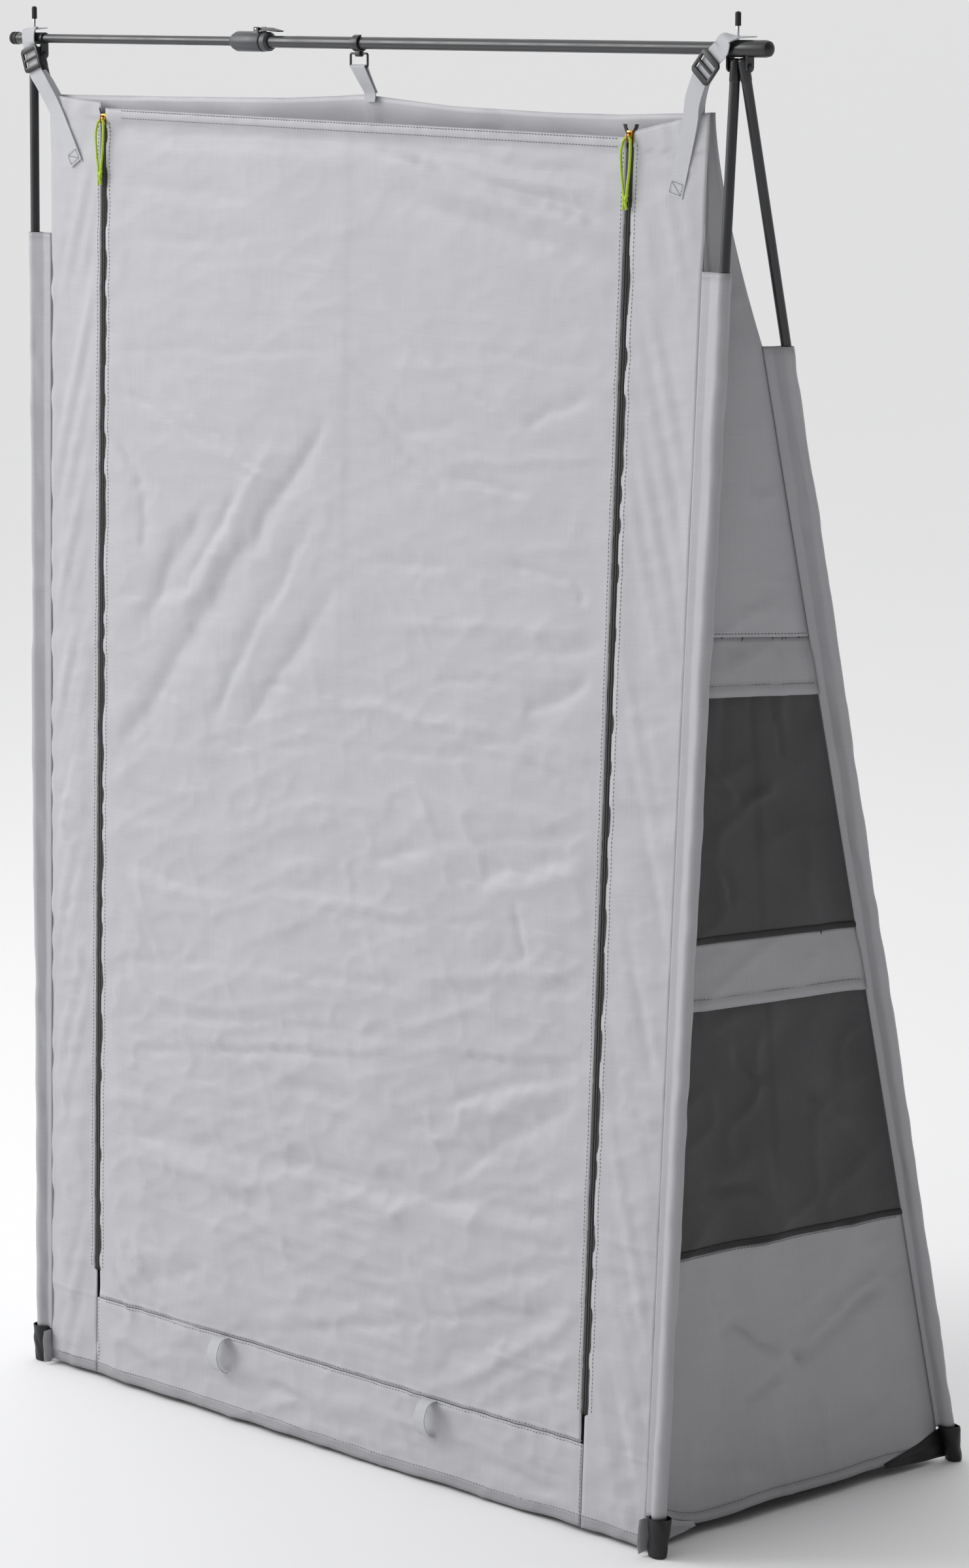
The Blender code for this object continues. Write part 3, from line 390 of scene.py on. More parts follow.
def cloth(
    name: str,
    grid: Grid,
    shape: Callable[[Array, Array], Array],
    thickness: float = 0.5 * MM,
    tone: Callable[[Array, Array], Array] | None = None,
    wraps: bool = False,
) -> bpy.types.Object:
    """Builds a sheet from a grid whose points are moved into place.

    Args:
        name: The piece's name.
        grid: Its divisions and flat size.
        shape: Gives points from the shares across and up the sheet. Across by up points outwards.
        thickness: The fabric's thickness, or 0 for none.
        tone: Gives a brightness from the same shares, or None for an even sheet.
        wraps: Whether the sheet's two side edges are sewn to each other.

    Returns:
        The sheet, with a UV map in metres and a "tone" attribute.
    """
    bpy.ops.object.select_all(action="DESELECT")
    bpy.ops.mesh.primitive_grid_add(x_subdivisions=grid.columns, y_subdivisions=grid.rows, size=1)
    obj = bpy.context.object
    obj.name = obj.data.name = name
    flat = coordinates(obj)
    across, up = flat[:, 0] + 0.5, flat[:, 1] + 0.5
    loops = np.empty(len(obj.data.loops), int)
    obj.data.loops.foreach_get("vertex_index", loops)
    uv = np.stack([across[loops] * grid.width, up[loops] * grid.length], axis=1)
    obj.data.uv_layers[0].data.foreach_set("uv", uv.ravel())
    shades = np.ones(len(across)) if tone is None else tone(across, up)
    attribute = obj.data.attributes.new("tone", "FLOAT", "POINT")
    attribute.data.foreach_set("value", shades.astype(np.float32))
    place(obj, shape(across, up))
    if wraps:
        merge_doubles(obj, 0.02 * MM)
    if thickness:
        apply_modifier(obj, "SOLIDIFY", thickness=thickness, offset=0)
    shade_smooth(obj)
    return obj


def smooth_route(points: Sequence[Sequence[float]], step: float) -> Array:
    """Finds evenly spaced points on a smooth curve through the given ones.

    Args:
        points: What the curve passes through.
        step: The spacing.

    Returns:
        One row for each point.
    """
    given = np.array(points, float)
    padded = np.vstack([2 * given[0] - given[1], given, 2 * given[-1] - given[-2]])
    found = []
    for i in range(len(given) - 1):
        before, start, end, after = padded[i : i + 4]
        share = np.linspace(0, 1, 24, endpoint=False)[:, None]
        found.append(
            0.5
            * (
                2 * start
                + (end - before) * share
                + (2 * before - 5 * start + 4 * end - after) * share**2
                + (3 * start - before - 3 * end + after) * share**3
            )
        )
    line = np.vstack([*found, given[-1:]])
    along = np.concatenate([[0], np.cumsum(np.linalg.norm(np.diff(line, axis=0), axis=1))])
    at = np.linspace(0, along[-1], max(3, round(along[-1] / step) + 1))
    return np.stack([np.interp(at, along, line[:, k]) for k in range(line.shape[1])], axis=1)


@dataclass(frozen=True)
class Station:
    """A place that a strap passes through: its point, the way its face looks and its width."""

    point: tuple[float, float, float]
    faces: tuple[float, float, float]
    width: float = 0.025


def strap(name: str, stations: Sequence[Station], thickness: float = 1.5 * MM) -> bpy.types.Object:
    """Builds a webbing strap along stations.

    Args:
        name: The piece's name.
        stations: The places that it passes.
        thickness: The webbing's thickness.

    Returns:
        The strap, its UV map running along it.
    """
    table = [(*s.point, *s.faces, s.width) for s in stations]
    given = np.array([row[:3] for row in table])
    reach = np.concatenate([[0], np.cumsum(np.linalg.norm(np.diff(given, axis=0), axis=1))])
    line = smooth_route(given, 1.5 * MM)
    count = len(line)
    nearest = np.array([np.linalg.norm(line - p, axis=1).argmin() for p in given])
    nearest = np.maximum.accumulate(nearest)
    nearest[0], nearest[-1] = 0, count - 1
    order = np.arange(count)
    faces = np.stack(
        [np.interp(order, nearest, [row[3 + k] for row in table]) for k in range(3)], axis=1
    )
    widths = np.interp(order, nearest, [row[6] for row in table])
    tangent = np.gradient(line, axis=0)
    sideways = np.cross(tangent, faces)
    sideways /= np.linalg.norm(sideways, axis=1, keepdims=True)
    columns = 8
    length = float(reach[-1])

    def shape(across: Array, up: Array) -> Array:
        index = np.round(up * (count - 1)).astype(int)
        offset = (across - 0.5) * widths[index]
        return line[index] + sideways[index] * offset[:, None]

    grid = Grid(columns, count - 1, float(widths.mean()), length)
    obj = cloth(name, grid, shape, thickness)
    shade_smooth(obj, 50)
    return obj


def finished_copy(
    node: str, finish: bpy.types.Material, slot: str, bevel: float = 0.0, degrees: float = 35
) -> bpy.types.Object:
    """Copies a hard CAD piece, rounds its edges and dresses it.

    Args:
        node: The CAD node.
        finish: Its material.
        slot: The record's name for that finish.
        bevel: The edge rounding's width, or 0 for none.
        degrees: Edges over this angle stay sharp.

    Returns:
        The copy.
    """
    source = frame["nodes"][node]
    obj = bpy.data.objects.new(node + "_finished", source.data.copy())
    bpy.context.scene.collection.objects.link(obj)
    only(obj)
    if obj.data.has_custom_normals:
        bpy.ops.mesh.customdata_custom_splitnormals_clear()
    merge_doubles(obj)
    if bevel:
        bpy.ops.object.mode_set(mode="EDIT")
        bpy.ops.mesh.select_all(action="SELECT")
        bpy.ops.mesh.dissolve_limited(angle_limit=math.radians(1))
        bpy.ops.object.mode_set(mode="OBJECT")
        apply_modifier(
            obj, "BEVEL", width=bevel, segments=3, limit_method="ANGLE",
            angle_limit=math.radians(40), use_clamp_overlap=True,
        )
    shade_smooth(obj, degrees)
    return dress(obj, finish, slot, source["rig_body"], node)


@dataclass
class Stitching:
    """Runs of thread, each stitch a small ellipsoid copied along a line.

    Real stitches are 3 to 4 mm long in 0.3 mm thread; these are drawn longer and thicker, so that they show.
    """

    name: str
    pitch: float = 5.4 * MM
    length: float = 3.6 * MM
    thickness: float = 1.4 * MM

    def __post_init__(self) -> None:
        """Starts with no stitches."""
        self.places: list[Array] = []
        self.along: list[Array] = []
        self.faces: list[Array] = []

    def run(self, line: Array, faces: Sequence[float] | Array) -> None:
        """Adds stitches along a line.

        Args:
            line: Points on the cloth's surface.
            faces: The way the cloth looks, one for all or one for each point.
        """
        reach = np.concatenate([[0], np.cumsum(np.linalg.norm(np.diff(line, axis=0), axis=1))])
        at = np.arange(self.pitch / 2, reach[-1], self.pitch)
        points = np.stack([np.interp(at, reach, line[:, k]) for k in range(3)], axis=1)
        ahead = np.stack([np.interp(at + 1 * MM, reach, line[:, k]) for k in range(3)], axis=1)
        behind = np.stack([np.interp(at - 1 * MM, reach, line[:, k]) for k in range(3)], axis=1)
        self.places.append(points)
        self.along.append(ahead - behind)
        self.faces.append(np.broadcast_to(np.array(faces, float), points.shape))

    def build(self) -> bpy.types.Object:
        """Copies the one stitch to every place.

        Returns:
            All the stitches as one piece.
        """
        bpy.ops.object.select_all(action="DESELECT")
        bpy.ops.mesh.primitive_uv_sphere_add(segments=6, ring_count=4, radius=0.5)
        pattern = bpy.context.object
        points = coordinates(pattern)
        polygons = [tuple(p.vertices) for p in pattern.data.polygons]
        bpy.data.objects.remove(pattern)
        places, along, faces = (np.vstack(rows) for rows in (self.places, self.along, self.faces))
        along /= np.linalg.norm(along, axis=1, keepdims=True)
        sideways = np.cross(faces, along)
        sideways /= np.linalg.norm(sideways, axis=1, keepdims=True)
        upward = np.cross(along, sideways)
        sized = points * np.array([self.thickness, self.thickness * 0.6, self.length])
        corners = (
            places[:, None]
            + sized[None, :, 0, None] * sideways[:, None]
            + sized[None, :, 1, None] * upward[:, None]
            + sized[None, :, 2, None] * along[:, None]
            + upward[:, None] * 0.35 * MM
        )
        count = len(points)
        every = [tuple(i * count + v for v in p) for i in range(len(places)) for p in polygons]
        mesh = bpy.data.meshes.new(self.name)
        mesh.from_pydata(corners.reshape(-1, 3).tolist(), [], every)
        obj = bpy.data.objects.new(self.name, mesh)
        bpy.context.scene.collection.objects.link(obj)
        shade_smooth(obj)
        return obj


# ---- Finishes -----------------------------------------------------------------------------------------
def add_node(
    tree: bpy.types.NodeTree,
    kind: str,
    settings: dict[str, object] | None = None,
    inputs: dict[str | int, object] | None = None,
) -> bpy.types.Node:
    """Adds a node with its settings, values and links.

    Args:
        tree: The material's nodes.
        kind: The node's type.
        settings: Its properties.
        inputs: A value, or an output to link, for each input by name or number.

    Returns:
        The node.
    """
    node = tree.nodes.new(kind)
    for name, value in (settings or {}).items():
        setattr(node, name, value)
    for key, value in (inputs or {}).items():
        if isinstance(value, bpy.types.NodeSocket):
            tree.links.new(value, node.inputs[key])
        else:
            node.inputs[key].default_value = value
    return node


def start_material(
    name: str, colour: str, roughness: float, **sockets: float
) -> tuple[bpy.types.Material, bpy.types.NodeTree, bpy.types.Node]:
    """Makes a material with its plain values.

    Args:
        name: The finish's name.
        colour: Its sRGB hex colour.
        roughness: Its roughness.
        sockets: Further values, with "_" for a blank in the socket's name.

    Returns:
        The material, its nodes and its shader.
    """
    material = bpy.data.materials.new(name)
    material.use_nodes = True
    tree = material.node_tree
    shader = tree.nodes["Principled BSDF"]
    shader.inputs["Base Color"].default_value = linear(colour)
    shader.inputs["Roughness"].default_value = roughness
    for key, value in sockets.items():
        shader.inputs[key.replace("_", " ")].default_value = value
    material.diffuse_color = linear(colour)
    return material, tree, shader


@dataclass(frozen=True)
class CoatedTaffeta:
    """Polyester taffeta with a polyurethane back.

    A tight plain weave: an even matt grey with faint slubs along both threads, a little sheen at a low angle, and
    small crushed creases that stay in the stiff coating. Its threads are 0.25 mm apart and are drawn 1.4 mm apart,
    because finer ones don't show.
    """

    name: str = "coated_taffeta"
    colour: str = "b1b1b5"
    roughness: float = 0.56
    crush: float = 1.7 * MM

    def make(self) -> bpy.types.Material:
        """Builds the material.

        Returns:
            The material.
        """
        material, tree, shader = start_material(
            self.name, self.colour, self.roughness, Sheen_Weight=0.12, Sheen_Roughness=0.4
        )
        uv = add_node(tree, "ShaderNodeTexCoord").outputs["UV"]
        tone = add_node(tree, "ShaderNodeAttribute", {"attribute_name": "tone"}).outputs["Fac"]
        weft = add_node(tree, "ShaderNodeMapping", inputs={"Vector": uv, "Scale": (14, 420, 1)})
        warp = add_node(tree, "ShaderNodeMapping", inputs={"Vector": uv, "Scale": (420, 14, 1)})
        slubs = [
            add_node(
                tree, "ShaderNodeTexNoise",
                inputs={"Vector": m.outputs[0], "Scale": 1.0, "Detail": 2.0, "Roughness": 0.6},
            ).outputs["Fac"]
            for m in (weft, warp)
        ]
        both = add_node(tree, "ShaderNodeMath", {"operation": "ADD"}, {0: slubs[0], 1: slubs[1]})
        cloud = add_node(
            tree, "ShaderNodeTexNoise", inputs={"Vector": uv, "Scale": 9.0, "Detail": 3.0, "Roughness": 0.55}
        )
        streak = add_node(
            tree, "ShaderNodeMapRange",
            inputs={0: both.outputs[0], 1: 0.6, 2: 1.4, 3: 0.955, 4: 1.045},
        )
        mottle = add_node(
            tree, "ShaderNodeMapRange", inputs={0: cloud.outputs["Fac"], 1: 0.3, 2: 0.7, 3: 0.975, 4: 1.025}
        )
        shade = add_node(
            tree, "ShaderNodeMath", {"operation": "MULTIPLY"},
            {0: streak.outputs[0], 1: mottle.outputs[0]},
        )
        # The tone attribute carries each piece's hem and seam tones and its painted shade and light.
        shade = add_node(tree, "ShaderNodeMath", {"operation": "MULTIPLY"}, {0: shade.outputs[0], 1: tone})
        scaled = add_node(
            tree, "ShaderNodeVectorMath", {"operation": "SCALE"},
            {0: linear(self.colour)[:3], "Scale": shade.outputs[0]},
        )
        tree.links.new(scaled.outputs[0], shader.inputs["Base Color"])
        threads = [
            add_node(
                tree, "ShaderNodeTexWave", {"bands_direction": way},
                {"Vector": uv, "Scale": 224.0, "Distortion": 0.6, "Detail": 1.0, "Detail Scale": 0.6},
            ).outputs["Fac"]
            for way in ("X", "Y")
        ]
        weave = add_node(tree, "ShaderNodeMath", {"operation": "MULTIPLY"}, {0: threads[0], 1: threads[1]})
        stretched = add_node(tree, "ShaderNodeMapping", inputs={"Vector": uv, "Scale": (0.55, 1.5, 1)})
        crushed = [
            add_node(
                tree, "ShaderNodeTexNoise", {"noise_type": "RIDGED_MULTIFRACTAL"},
                {"Vector": stretched.outputs[0], "Scale": scale, "Detail": 2.5, "Roughness": 0.5, "Distortion": bend},
            ).outputs["Fac"]
            for scale, bend in ((10.0, 0.8), (31.0, 0.5))
        ]
        first = add_node(
            tree, "ShaderNodeBump", inputs={"Strength": 0.55, "Distance": 0.03 * MM, "Height": weave.outputs[0]}
        )
        second = add_node(
            tree, "ShaderNodeBump",
            inputs={"Strength": 0.6, "Distance": self.crush, "Height": crushed[0], "Normal": first.outputs[0]},
        )
        third = add_node(
            tree, "ShaderNodeBump",
            inputs={"Strength": 0.5, "Distance": self.crush * 0.45, "Height": crushed[1], "Normal": second.outputs[0]},
        )
        tree.links.new(third.outputs[0], shader.inputs["Normal"])
        return material


@dataclass(frozen=True)
class InsectMesh:
    """Knitted polyester insect mesh: near black, matt, and a little see-through.

    Its holes are 0.6 mm and are drawn 3 mm.
    """

    name: str = "insect_mesh"
    colour: str = "343436"

    def make(self) -> bpy.types.Material:
        """Builds the material.

        Returns:
            The material.
        """
        material, tree, shader = start_material(self.name, self.colour, 0.62, Alpha=0.93, Sheen_Weight=0.25)
        uv = add_node(tree, "ShaderNodeTexCoord").outputs["UV"]
        holes = add_node(
            tree, "ShaderNodeTexVoronoi", {"distance": "MANHATTAN"},
            {"Vector": uv, "Scale": 330.0, "Randomness": 0.25},
        )
        # Painted light and shade: the folds noise brightens and darkens the mesh's colour as the light on its wrinkles.
        folds = add_node(
            tree, "ShaderNodeTexNoise", inputs={"Vector": uv, "Scale": 8.0, "Detail": 3.0, "Distortion": 0.8}
        )
        shade = add_node(
            tree, "ShaderNodeMapRange", inputs={0: holes.outputs["Distance"], 1: 0.0, 2: 0.8, 3: 0.82, 4: 1.15}
        )
        painted_wrinkle_light = add_node(
            tree, "ShaderNodeMapRange", inputs={0: folds.outputs["Fac"], 1: 0.3, 2: 0.75, 3: 0.85, 4: 1.35}
        )
        both = add_node(
            tree, "ShaderNodeMath", {"operation": "MULTIPLY"}, {0: shade.outputs[0], 1: painted_wrinkle_light.outputs[0]}
        )
        tone = add_node(tree, "ShaderNodeAttribute", {"attribute_name": "tone"}).outputs["Fac"]
        both = add_node(tree, "ShaderNodeMath", {"operation": "MULTIPLY"}, {0: both.outputs[0], 1: tone})
        scaled = add_node(
            tree, "ShaderNodeVectorMath", {"operation": "SCALE"},
            {0: linear(self.colour)[:3], "Scale": both.outputs[0]},
        )
        tree.links.new(scaled.outputs[0], shader.inputs["Base Color"])
        fine = add_node(
            tree, "ShaderNodeBump",
            inputs={"Strength": 0.5, "Distance": 0.15 * MM, "Height": holes.outputs["Distance"]},
        )
        crushed = add_node(
            tree, "ShaderNodeTexNoise", {"noise_type": "RIDGED_MULTIFRACTAL"},
            {"Vector": uv, "Scale": 11.0, "Detail": 2.0, "Distortion": 0.9},
        )
        bump = add_node(
            tree, "ShaderNodeBump",
            inputs={"Strength": 0.7, "Distance": 1.4 * MM, "Height": crushed.outputs["Fac"], "Normal": fine.outputs[0]},
        )
        tree.links.new(bump.outputs[0], shader.inputs["Normal"])
        return material


@dataclass(frozen=True)
class Woven:
    """A ribbed narrow weave, as webbing, zip tape, grosgrain or braid: fine ribs across its length."""

    name: str
    colour: str
    roughness: float
    rib: float
    depth: float
    sheen: float = 0.1

    def make(self) -> bpy.types.Material:
        """Builds the material.

        Returns:
            The material.
        """
        material, tree, shader = start_material(
            self.name, self.colour, self.roughness, Sheen_Weight=self.sheen
        )
        uv = add_node(tree, "ShaderNodeTexCoord").outputs["UV"]
        # The wave repeats every pi / (10 * scale) metres, so the ribs stand at 0.63 of the spacing in rib.
        bands = 0.5 / self.rib
        ribs = add_node(
            tree, "ShaderNodeTexWave", {"bands_direction": "Y"},
            {"Vector": uv, "Scale": bands, "Distortion": 0.8, "Detail": 1.0, "Detail Scale": 2.0},
        )
        fuzz = add_node(
            tree, "ShaderNodeTexNoise", inputs={"Vector": uv, "Scale": 900.0, "Detail": 2.0}
        )
        shade = add_node(
            tree, "ShaderNodeMapRange", inputs={0: ribs.outputs["Fac"], 1: 0.0, 2: 1.0, 3: 0.86, 4: 1.06}
        )
        speck = add_node(
            tree, "ShaderNodeMapRange", inputs={0: fuzz.outputs["Fac"], 1: 0.3, 2: 0.7, 3: 0.93, 4: 1.07}
        )
        both = add_node(
            tree, "ShaderNodeMath", {"operation": "MULTIPLY"}, {0: shade.outputs[0], 1: speck.outputs[0]}
        )
        scaled = add_node(
            tree, "ShaderNodeVectorMath", {"operation": "SCALE"},
            {0: linear(self.colour)[:3], "Scale": both.outputs[0]},
        )
        tree.links.new(scaled.outputs[0], shader.inputs["Base Color"])
        bump = add_node(
            tree, "ShaderNodeBump",
            inputs={"Strength": 0.7, "Distance": self.depth, "Height": ribs.outputs["Fac"]},
        )
        tree.links.new(bump.outputs[0], shader.inputs["Normal"])
        return material


@dataclass(frozen=True)
class Grained:
    """A moulded, painted, cast or rubber surface: one colour with a fine grain in its gloss and a slight bump."""

    name: str
    colour: str
    roughness: float
    grain: float
    depth: float
    metallic: float = 0.0
    coat: float = 0.0
    spread: float = 0.08

    def make(self) -> bpy.types.Material:
        """Builds the material.

        Returns:
            The material.
        """
        material, tree, shader = start_material(
            self.name, self.colour, self.roughness, Metallic=self.metallic, Coat_Weight=self.coat,
            Coat_Roughness=0.15,
        )
        at = add_node(tree, "ShaderNodeTexCoord").outputs["Object"]
        fine = add_node(
            tree, "ShaderNodeTexNoise", inputs={"Vector": at, "Scale": 1 / self.grain, "Detail": 3.0}
        )
        broad = add_node(tree, "ShaderNodeTexNoise", inputs={"Vector": at, "Scale": 28.0, "Detail": 4.0})
        rough = add_node(
            tree, "ShaderNodeMapRange",
            inputs={
                0: broad.outputs["Fac"], 1: 0.3, 2: 0.7,
                3: max(0.05, self.roughness - self.spread), 4: self.roughness + self.spread,
            },
        )
        tree.links.new(rough.outputs[0], shader.inputs["Roughness"])
        shade = add_node(
            tree, "ShaderNodeMapRange", inputs={0: broad.outputs["Fac"], 1: 0.3, 2: 0.7, 3: 0.88, 4: 1.12}
        )
        scaled = add_node(
            tree, "ShaderNodeVectorMath", {"operation": "SCALE"},
            {0: linear(self.colour)[:3], "Scale": shade.outputs[0]},
        )
        tree.links.new(scaled.outputs[0], shader.inputs["Base Color"])
        bump = add_node(
            tree, "ShaderNodeBump",
            inputs={"Strength": 0.5, "Distance": self.depth, "Height": fine.outputs["Fac"]},
        )
        tree.links.new(bump.outputs[0], shader.inputs["Normal"])
        return material


class Finish(Enum):
    """Every finish, each with the record's name for it. Sizes are real ones, in metres."""

    TAFFETA = ("front_fabric", CoatedTaffeta("coated_taffeta_door"))
    # Painted shade: the walls' taffeta is the door's cloth, painted darker for the shade that the side walls stand in.
    WALL_TAFFETA = ("wall_fabric", CoatedTaffeta("coated_taffeta_walls", "a0a0a4", 0.47, 3.2 * MM))
    # Painted light: the rear wall's taffeta is the door's cloth, painted lighter against the shade inside the cover.
    REAR_TAFFETA = ("wall_fabric", CoatedTaffeta("coated_taffeta_rear", "b8b8bc", 0.52, 2.6 * MM))
    # Painted shade: the sleeves' taffeta is the door's cloth, painted darker for the shade where the sleeves turn from
    # the light.
    SLEEVE_TAFFETA = ("sleeve_fabric", CoatedTaffeta("coated_taffeta_sleeves", "a6a6aa", 0.5, 2.8 * MM))
    WINDOW = ("mesh_fabric", InsectMesh())
    # Polypropylene webbing is matt and ribbed every 1.6 mm.
    WEBBING = ("webbing", Woven("ribbed_webbing", "bfc0c4", 0.75, 1.6 * MM, 0.25 * MM))
    # Nylon coil teeth stand 1.5 mm apart and catch a small light each. They are drawn 2 mm apart.
    COIL = ("zip_tape", Woven("nylon_coil_zip", "1b1b1d", 0.42, 2.0 * MM, 0.5 * MM, 0.0))
    # Grosgrain binding is black with a soft cross rib.
    BINDING = ("zip_tape", Woven("grosgrain_binding", "1e1e20", 0.7, 1.5 * MM, 0.15 * MM))
    # A braided polyester cord in signal yellow green.
    CORD = ("neon_cord", Woven("braided_signal_cord", "cdf03c", 0.6, 2.2 * MM, 0.3 * MM, 0.2))
    # Bonded polyester thread matches the cover; its colour is painted darker, as painted shade in the seams.
    THREAD = ("webbing", Woven("sewing_thread", "77777c", 0.6, 1.0 * MM, 0.05 * MM))
    # Powder coat is a smooth dark charcoal with soft long highlights and a faint orange peel.
    PAINT = ("tube_paint", Grained("powder_coated_tube", "26272a", 0.36, 1.4 * MM, 0.006 * MM, coat=0.12))
    # Glass filled nylon has a spark eroded grain of about 0.3 mm, drawn 0.5 mm.
    NYLON = ("black_plastic", Grained("moulded_nylon", "1b1c1e", 0.34, 0.5 * MM, 0.04 * MM))
    ACETAL = ("collar_plastic", Grained("moulded_acetal", "3a3c40", 0.42, 0.6 * MM, 0.04 * MM))
    RUBBER = ("rubber", Grained("moulded_rubber", "1d1d1f", 0.68, 0.8 * MM, 0.06 * MM))
    # Zinc plate on turned steel is bright with a slightly cloudy gloss.
    ZINC = ("steel", Grained("zinc_plated_steel", "c9cbd0", 0.26, 0.7 * MM, 0.01 * MM, metallic=1.0))
    # Black oxide on the pivot pins is a dull dark grey metal.
    OXIDE = ("steel", Grained("black_oxide_steel", "4a4b4e", 0.45, 0.7 * MM, 0.01 * MM, metallic=1.0))
    # Brass plate on a die cast slider, dulled on its flats.
    BRASS = ("brass", Grained("brass_plated_zinc", "a97c3a", 0.34, 0.6 * MM, 0.02 * MM, metallic=1.0))
    # Coated polyester packcloth is black, with a leathery sheen where it creases.
    PACKCLOTH = ("boot_vinyl", Grained("coated_packcloth", "0d0e0f", 0.52, 2.6 * MM, 0.4 * MM, spread=0.12))

    @property
    def slot(self) -> str:
        """The record's name for this finish."""
        return self.value[0]

    def material(self) -> bpy.types.Material:
        """The material, made the first time that it is asked for."""
        return bpy.data.materials.get(self.value[1].name) or self.value[1].make()


# ---- The cover's folds --------------------------------------------------------------------------------
@dataclass(frozen=True)
class Crease:
    """A fold in a wall between two points, in millimetres. A negative height is a valley."""

    x1: float
    z1: float
    x2: float
    z2: float
    width: float
    height: float


# Folds of the front: across and up at each end, width and height. A separate measuring program worked out these rows
# and the next table's.
UPPER_CREASES = """
17 1773 472 1736 11 -5; 19 1769 470 1680 13 -8; 23 1749 469 1710 14 4; 21 1722 472 1624 20 -5;
23 1741 471 1655 18 4; -491 1768 6 1769 12 -5; 19 1780 466 1778 10 -3; -56 1402 -208 1215 16 -6;
-181 1264 -474 902 26 -7; -143 1378 -347 1098 22 5; -294 1273 -433 1079 22 -6; -221 1300 -331 1156 12 -4;
-72 1272 -286 961 20 -5; -46 1293 -272 953 20 3; -22 1189 -216 964 16 -5; -486 1349 -416 1283 10 -5;
-416 1283 -424 1196 14 -4; -499 1430 -267 1350 6 -3; -267 1350 -139 1306 6 4; -382 1423 -141 1313 6 -3;
52 1535 146 1491 7 -3; -25 1486 137 1388 7 -3.5; 10 1429 194 1315 8 -4; 183 1471 303 1420 6 -3;
303 1420 429 1469 9 -3.5; 161 1358 470 1392 8 3; 174 1342 327 1335 8 -4; 35 1224 193 1226 8 -3.5;
291 1244 399 1230 7 -4; 399 1230 427 1204 6 -3.5; 38 1140 466 1172 9 3.5; 270 1130 467 1150 14 -5;
125 1069 298 1092 7 -3; -162 1048 -63 1030 7 -2.5; -66 1028 351 1017 8 4; 249 1005 378 1032 12 -4;
322 1046 450 1106 14 -5; 3 968 324 993 12 -3.5; 324 994 450 964 12 -4.5; -485 1474 -38 1492 7 -2;
-477 1027 -301 988 7 -2.5; -286 943 -37 966 9 -2.5; -478 1123 -291 1160 10 -2; -473 1622 -150 1642 12 -2;
-475 1707 -178 1688 14 -2; 54 1481 257 1489 9 2; 31 1372 210 1420 9 -2; 232 1509 451 1505 8 -2
"""
LOWER_CREASES = """
-87 807 47 820 8 -3; 47 820 158 860 9 -4; 158 860 462 910 9 -3; 204 811 458 894 18 -5.5;
256 805 459 868 16 4; -486 760 -250 739 11 -3; -250 739 -32 779 10 -3; -211 754 209 761 10 3;
-17 734 332 779 9 -3; 312 808 336 728 8 -4; 258 723 334 721 8 -3; -484 612 -191 642 8 -3;
-191 642 157 666 9 -3.5; 157 666 464 714 16 -4.5; 131 676 463 740 12 3; -490 532 211 612 9 -2.5;
-481 482 160 579 8 -4.5; 160 579 475 620 9 -4.5; -481 490 475 630 10 2.5; 143 499 468 614 16 -5;
-134 497 60 496 9 -3; 217 425 453 576 16 -5; 164 463 452 600 16 4; -479 369 -142 385 13 -4;
-142 385 166 398 12 -5; -479 339 -44 346 14 5; -44 346 156 363 13 6; 156 363 460 384 14 6;
-45 371 457 407 12 -4; -272 319 -143 310 8 -3.5; -478 307 -253 271 14 -3; 150 480 321 453 9 -3;
137 473 216 468 7 4; -461 216 -367 148 9 5; -449 226 -251 161 14 5; -464 181 -414 120 8 -4;
170 257 461 354 12 -3.5; -139 135 451 295 10 -4.5; 226 139 463 289 12 5; 174 146 460 313 16 -4;
278 140 463 245 9 3.5; 291 129 459 189 9 -3; -182 158 170 263 14 -3; -430 142 -241 215 12 -3;
-45 254 170 277 10 -2.5; -23 468 112 435 10 -2.5; -405 412 -50 463 12 -2.5; -329 296 -19 316 12 -2.5;
243 403 443 454 10 -2.5; -474 78 -237 82 12 -3; -252 79 97 67 12 4; -180 80 -11 38 14 -4;
1 80 280 71 14 4; 149 98 307 44 14 -5; 254 98 469 72 12 4; 281 52 458 42 12 -4;
-458 71 -324 49 9 3; -295 45 -12 62 10 -3
"""


def fold_heights(folds: Sequence[Crease], x: Array, z: Array) -> Array:
    """Adds up folds, each a crisp line with a soft trough beside it and tapered ends.

    Args:
        folds: The folds.
        x: Places across, in millimetres.
        z: Heights, in millimetres.

    Returns:
        How far the folds stand out, in millimetres.
    """
    total = np.zeros_like(x)
    for fold in folds:
        dx, dz = fold.x2 - fold.x1, fold.z2 - fold.z1
        length = math.hypot(dx, dz)
        along = ((x - fold.x1) * dx + (z - fold.z1) * dz) / length**2
        off = ((z - fold.z1) * dx - (x - fold.x1) * dz) / length / fold.width
        off = np.where(off > 0, off * 0.8, off * 1.3)
        taper = smooth_step(-0.04, 0.22, along) * smooth_step(1.04, 0.78, along)
        crisp = np.exp(0.45 - np.sqrt(off**2 * 1.8 + 0.2))
        total += fold.height * taper * (crisp - 0.28 * np.exp(-((off / 2.5) ** 2)))
    return total


def creases(table: str) -> list[Crease]:
    """Reads a table of creases.

    Args:
        table: Rows of six numbers parted by semicolons.

    Returns:
        The creases.
    """
    return [Crease(*map(float, row.split())) for row in table.split(";")]


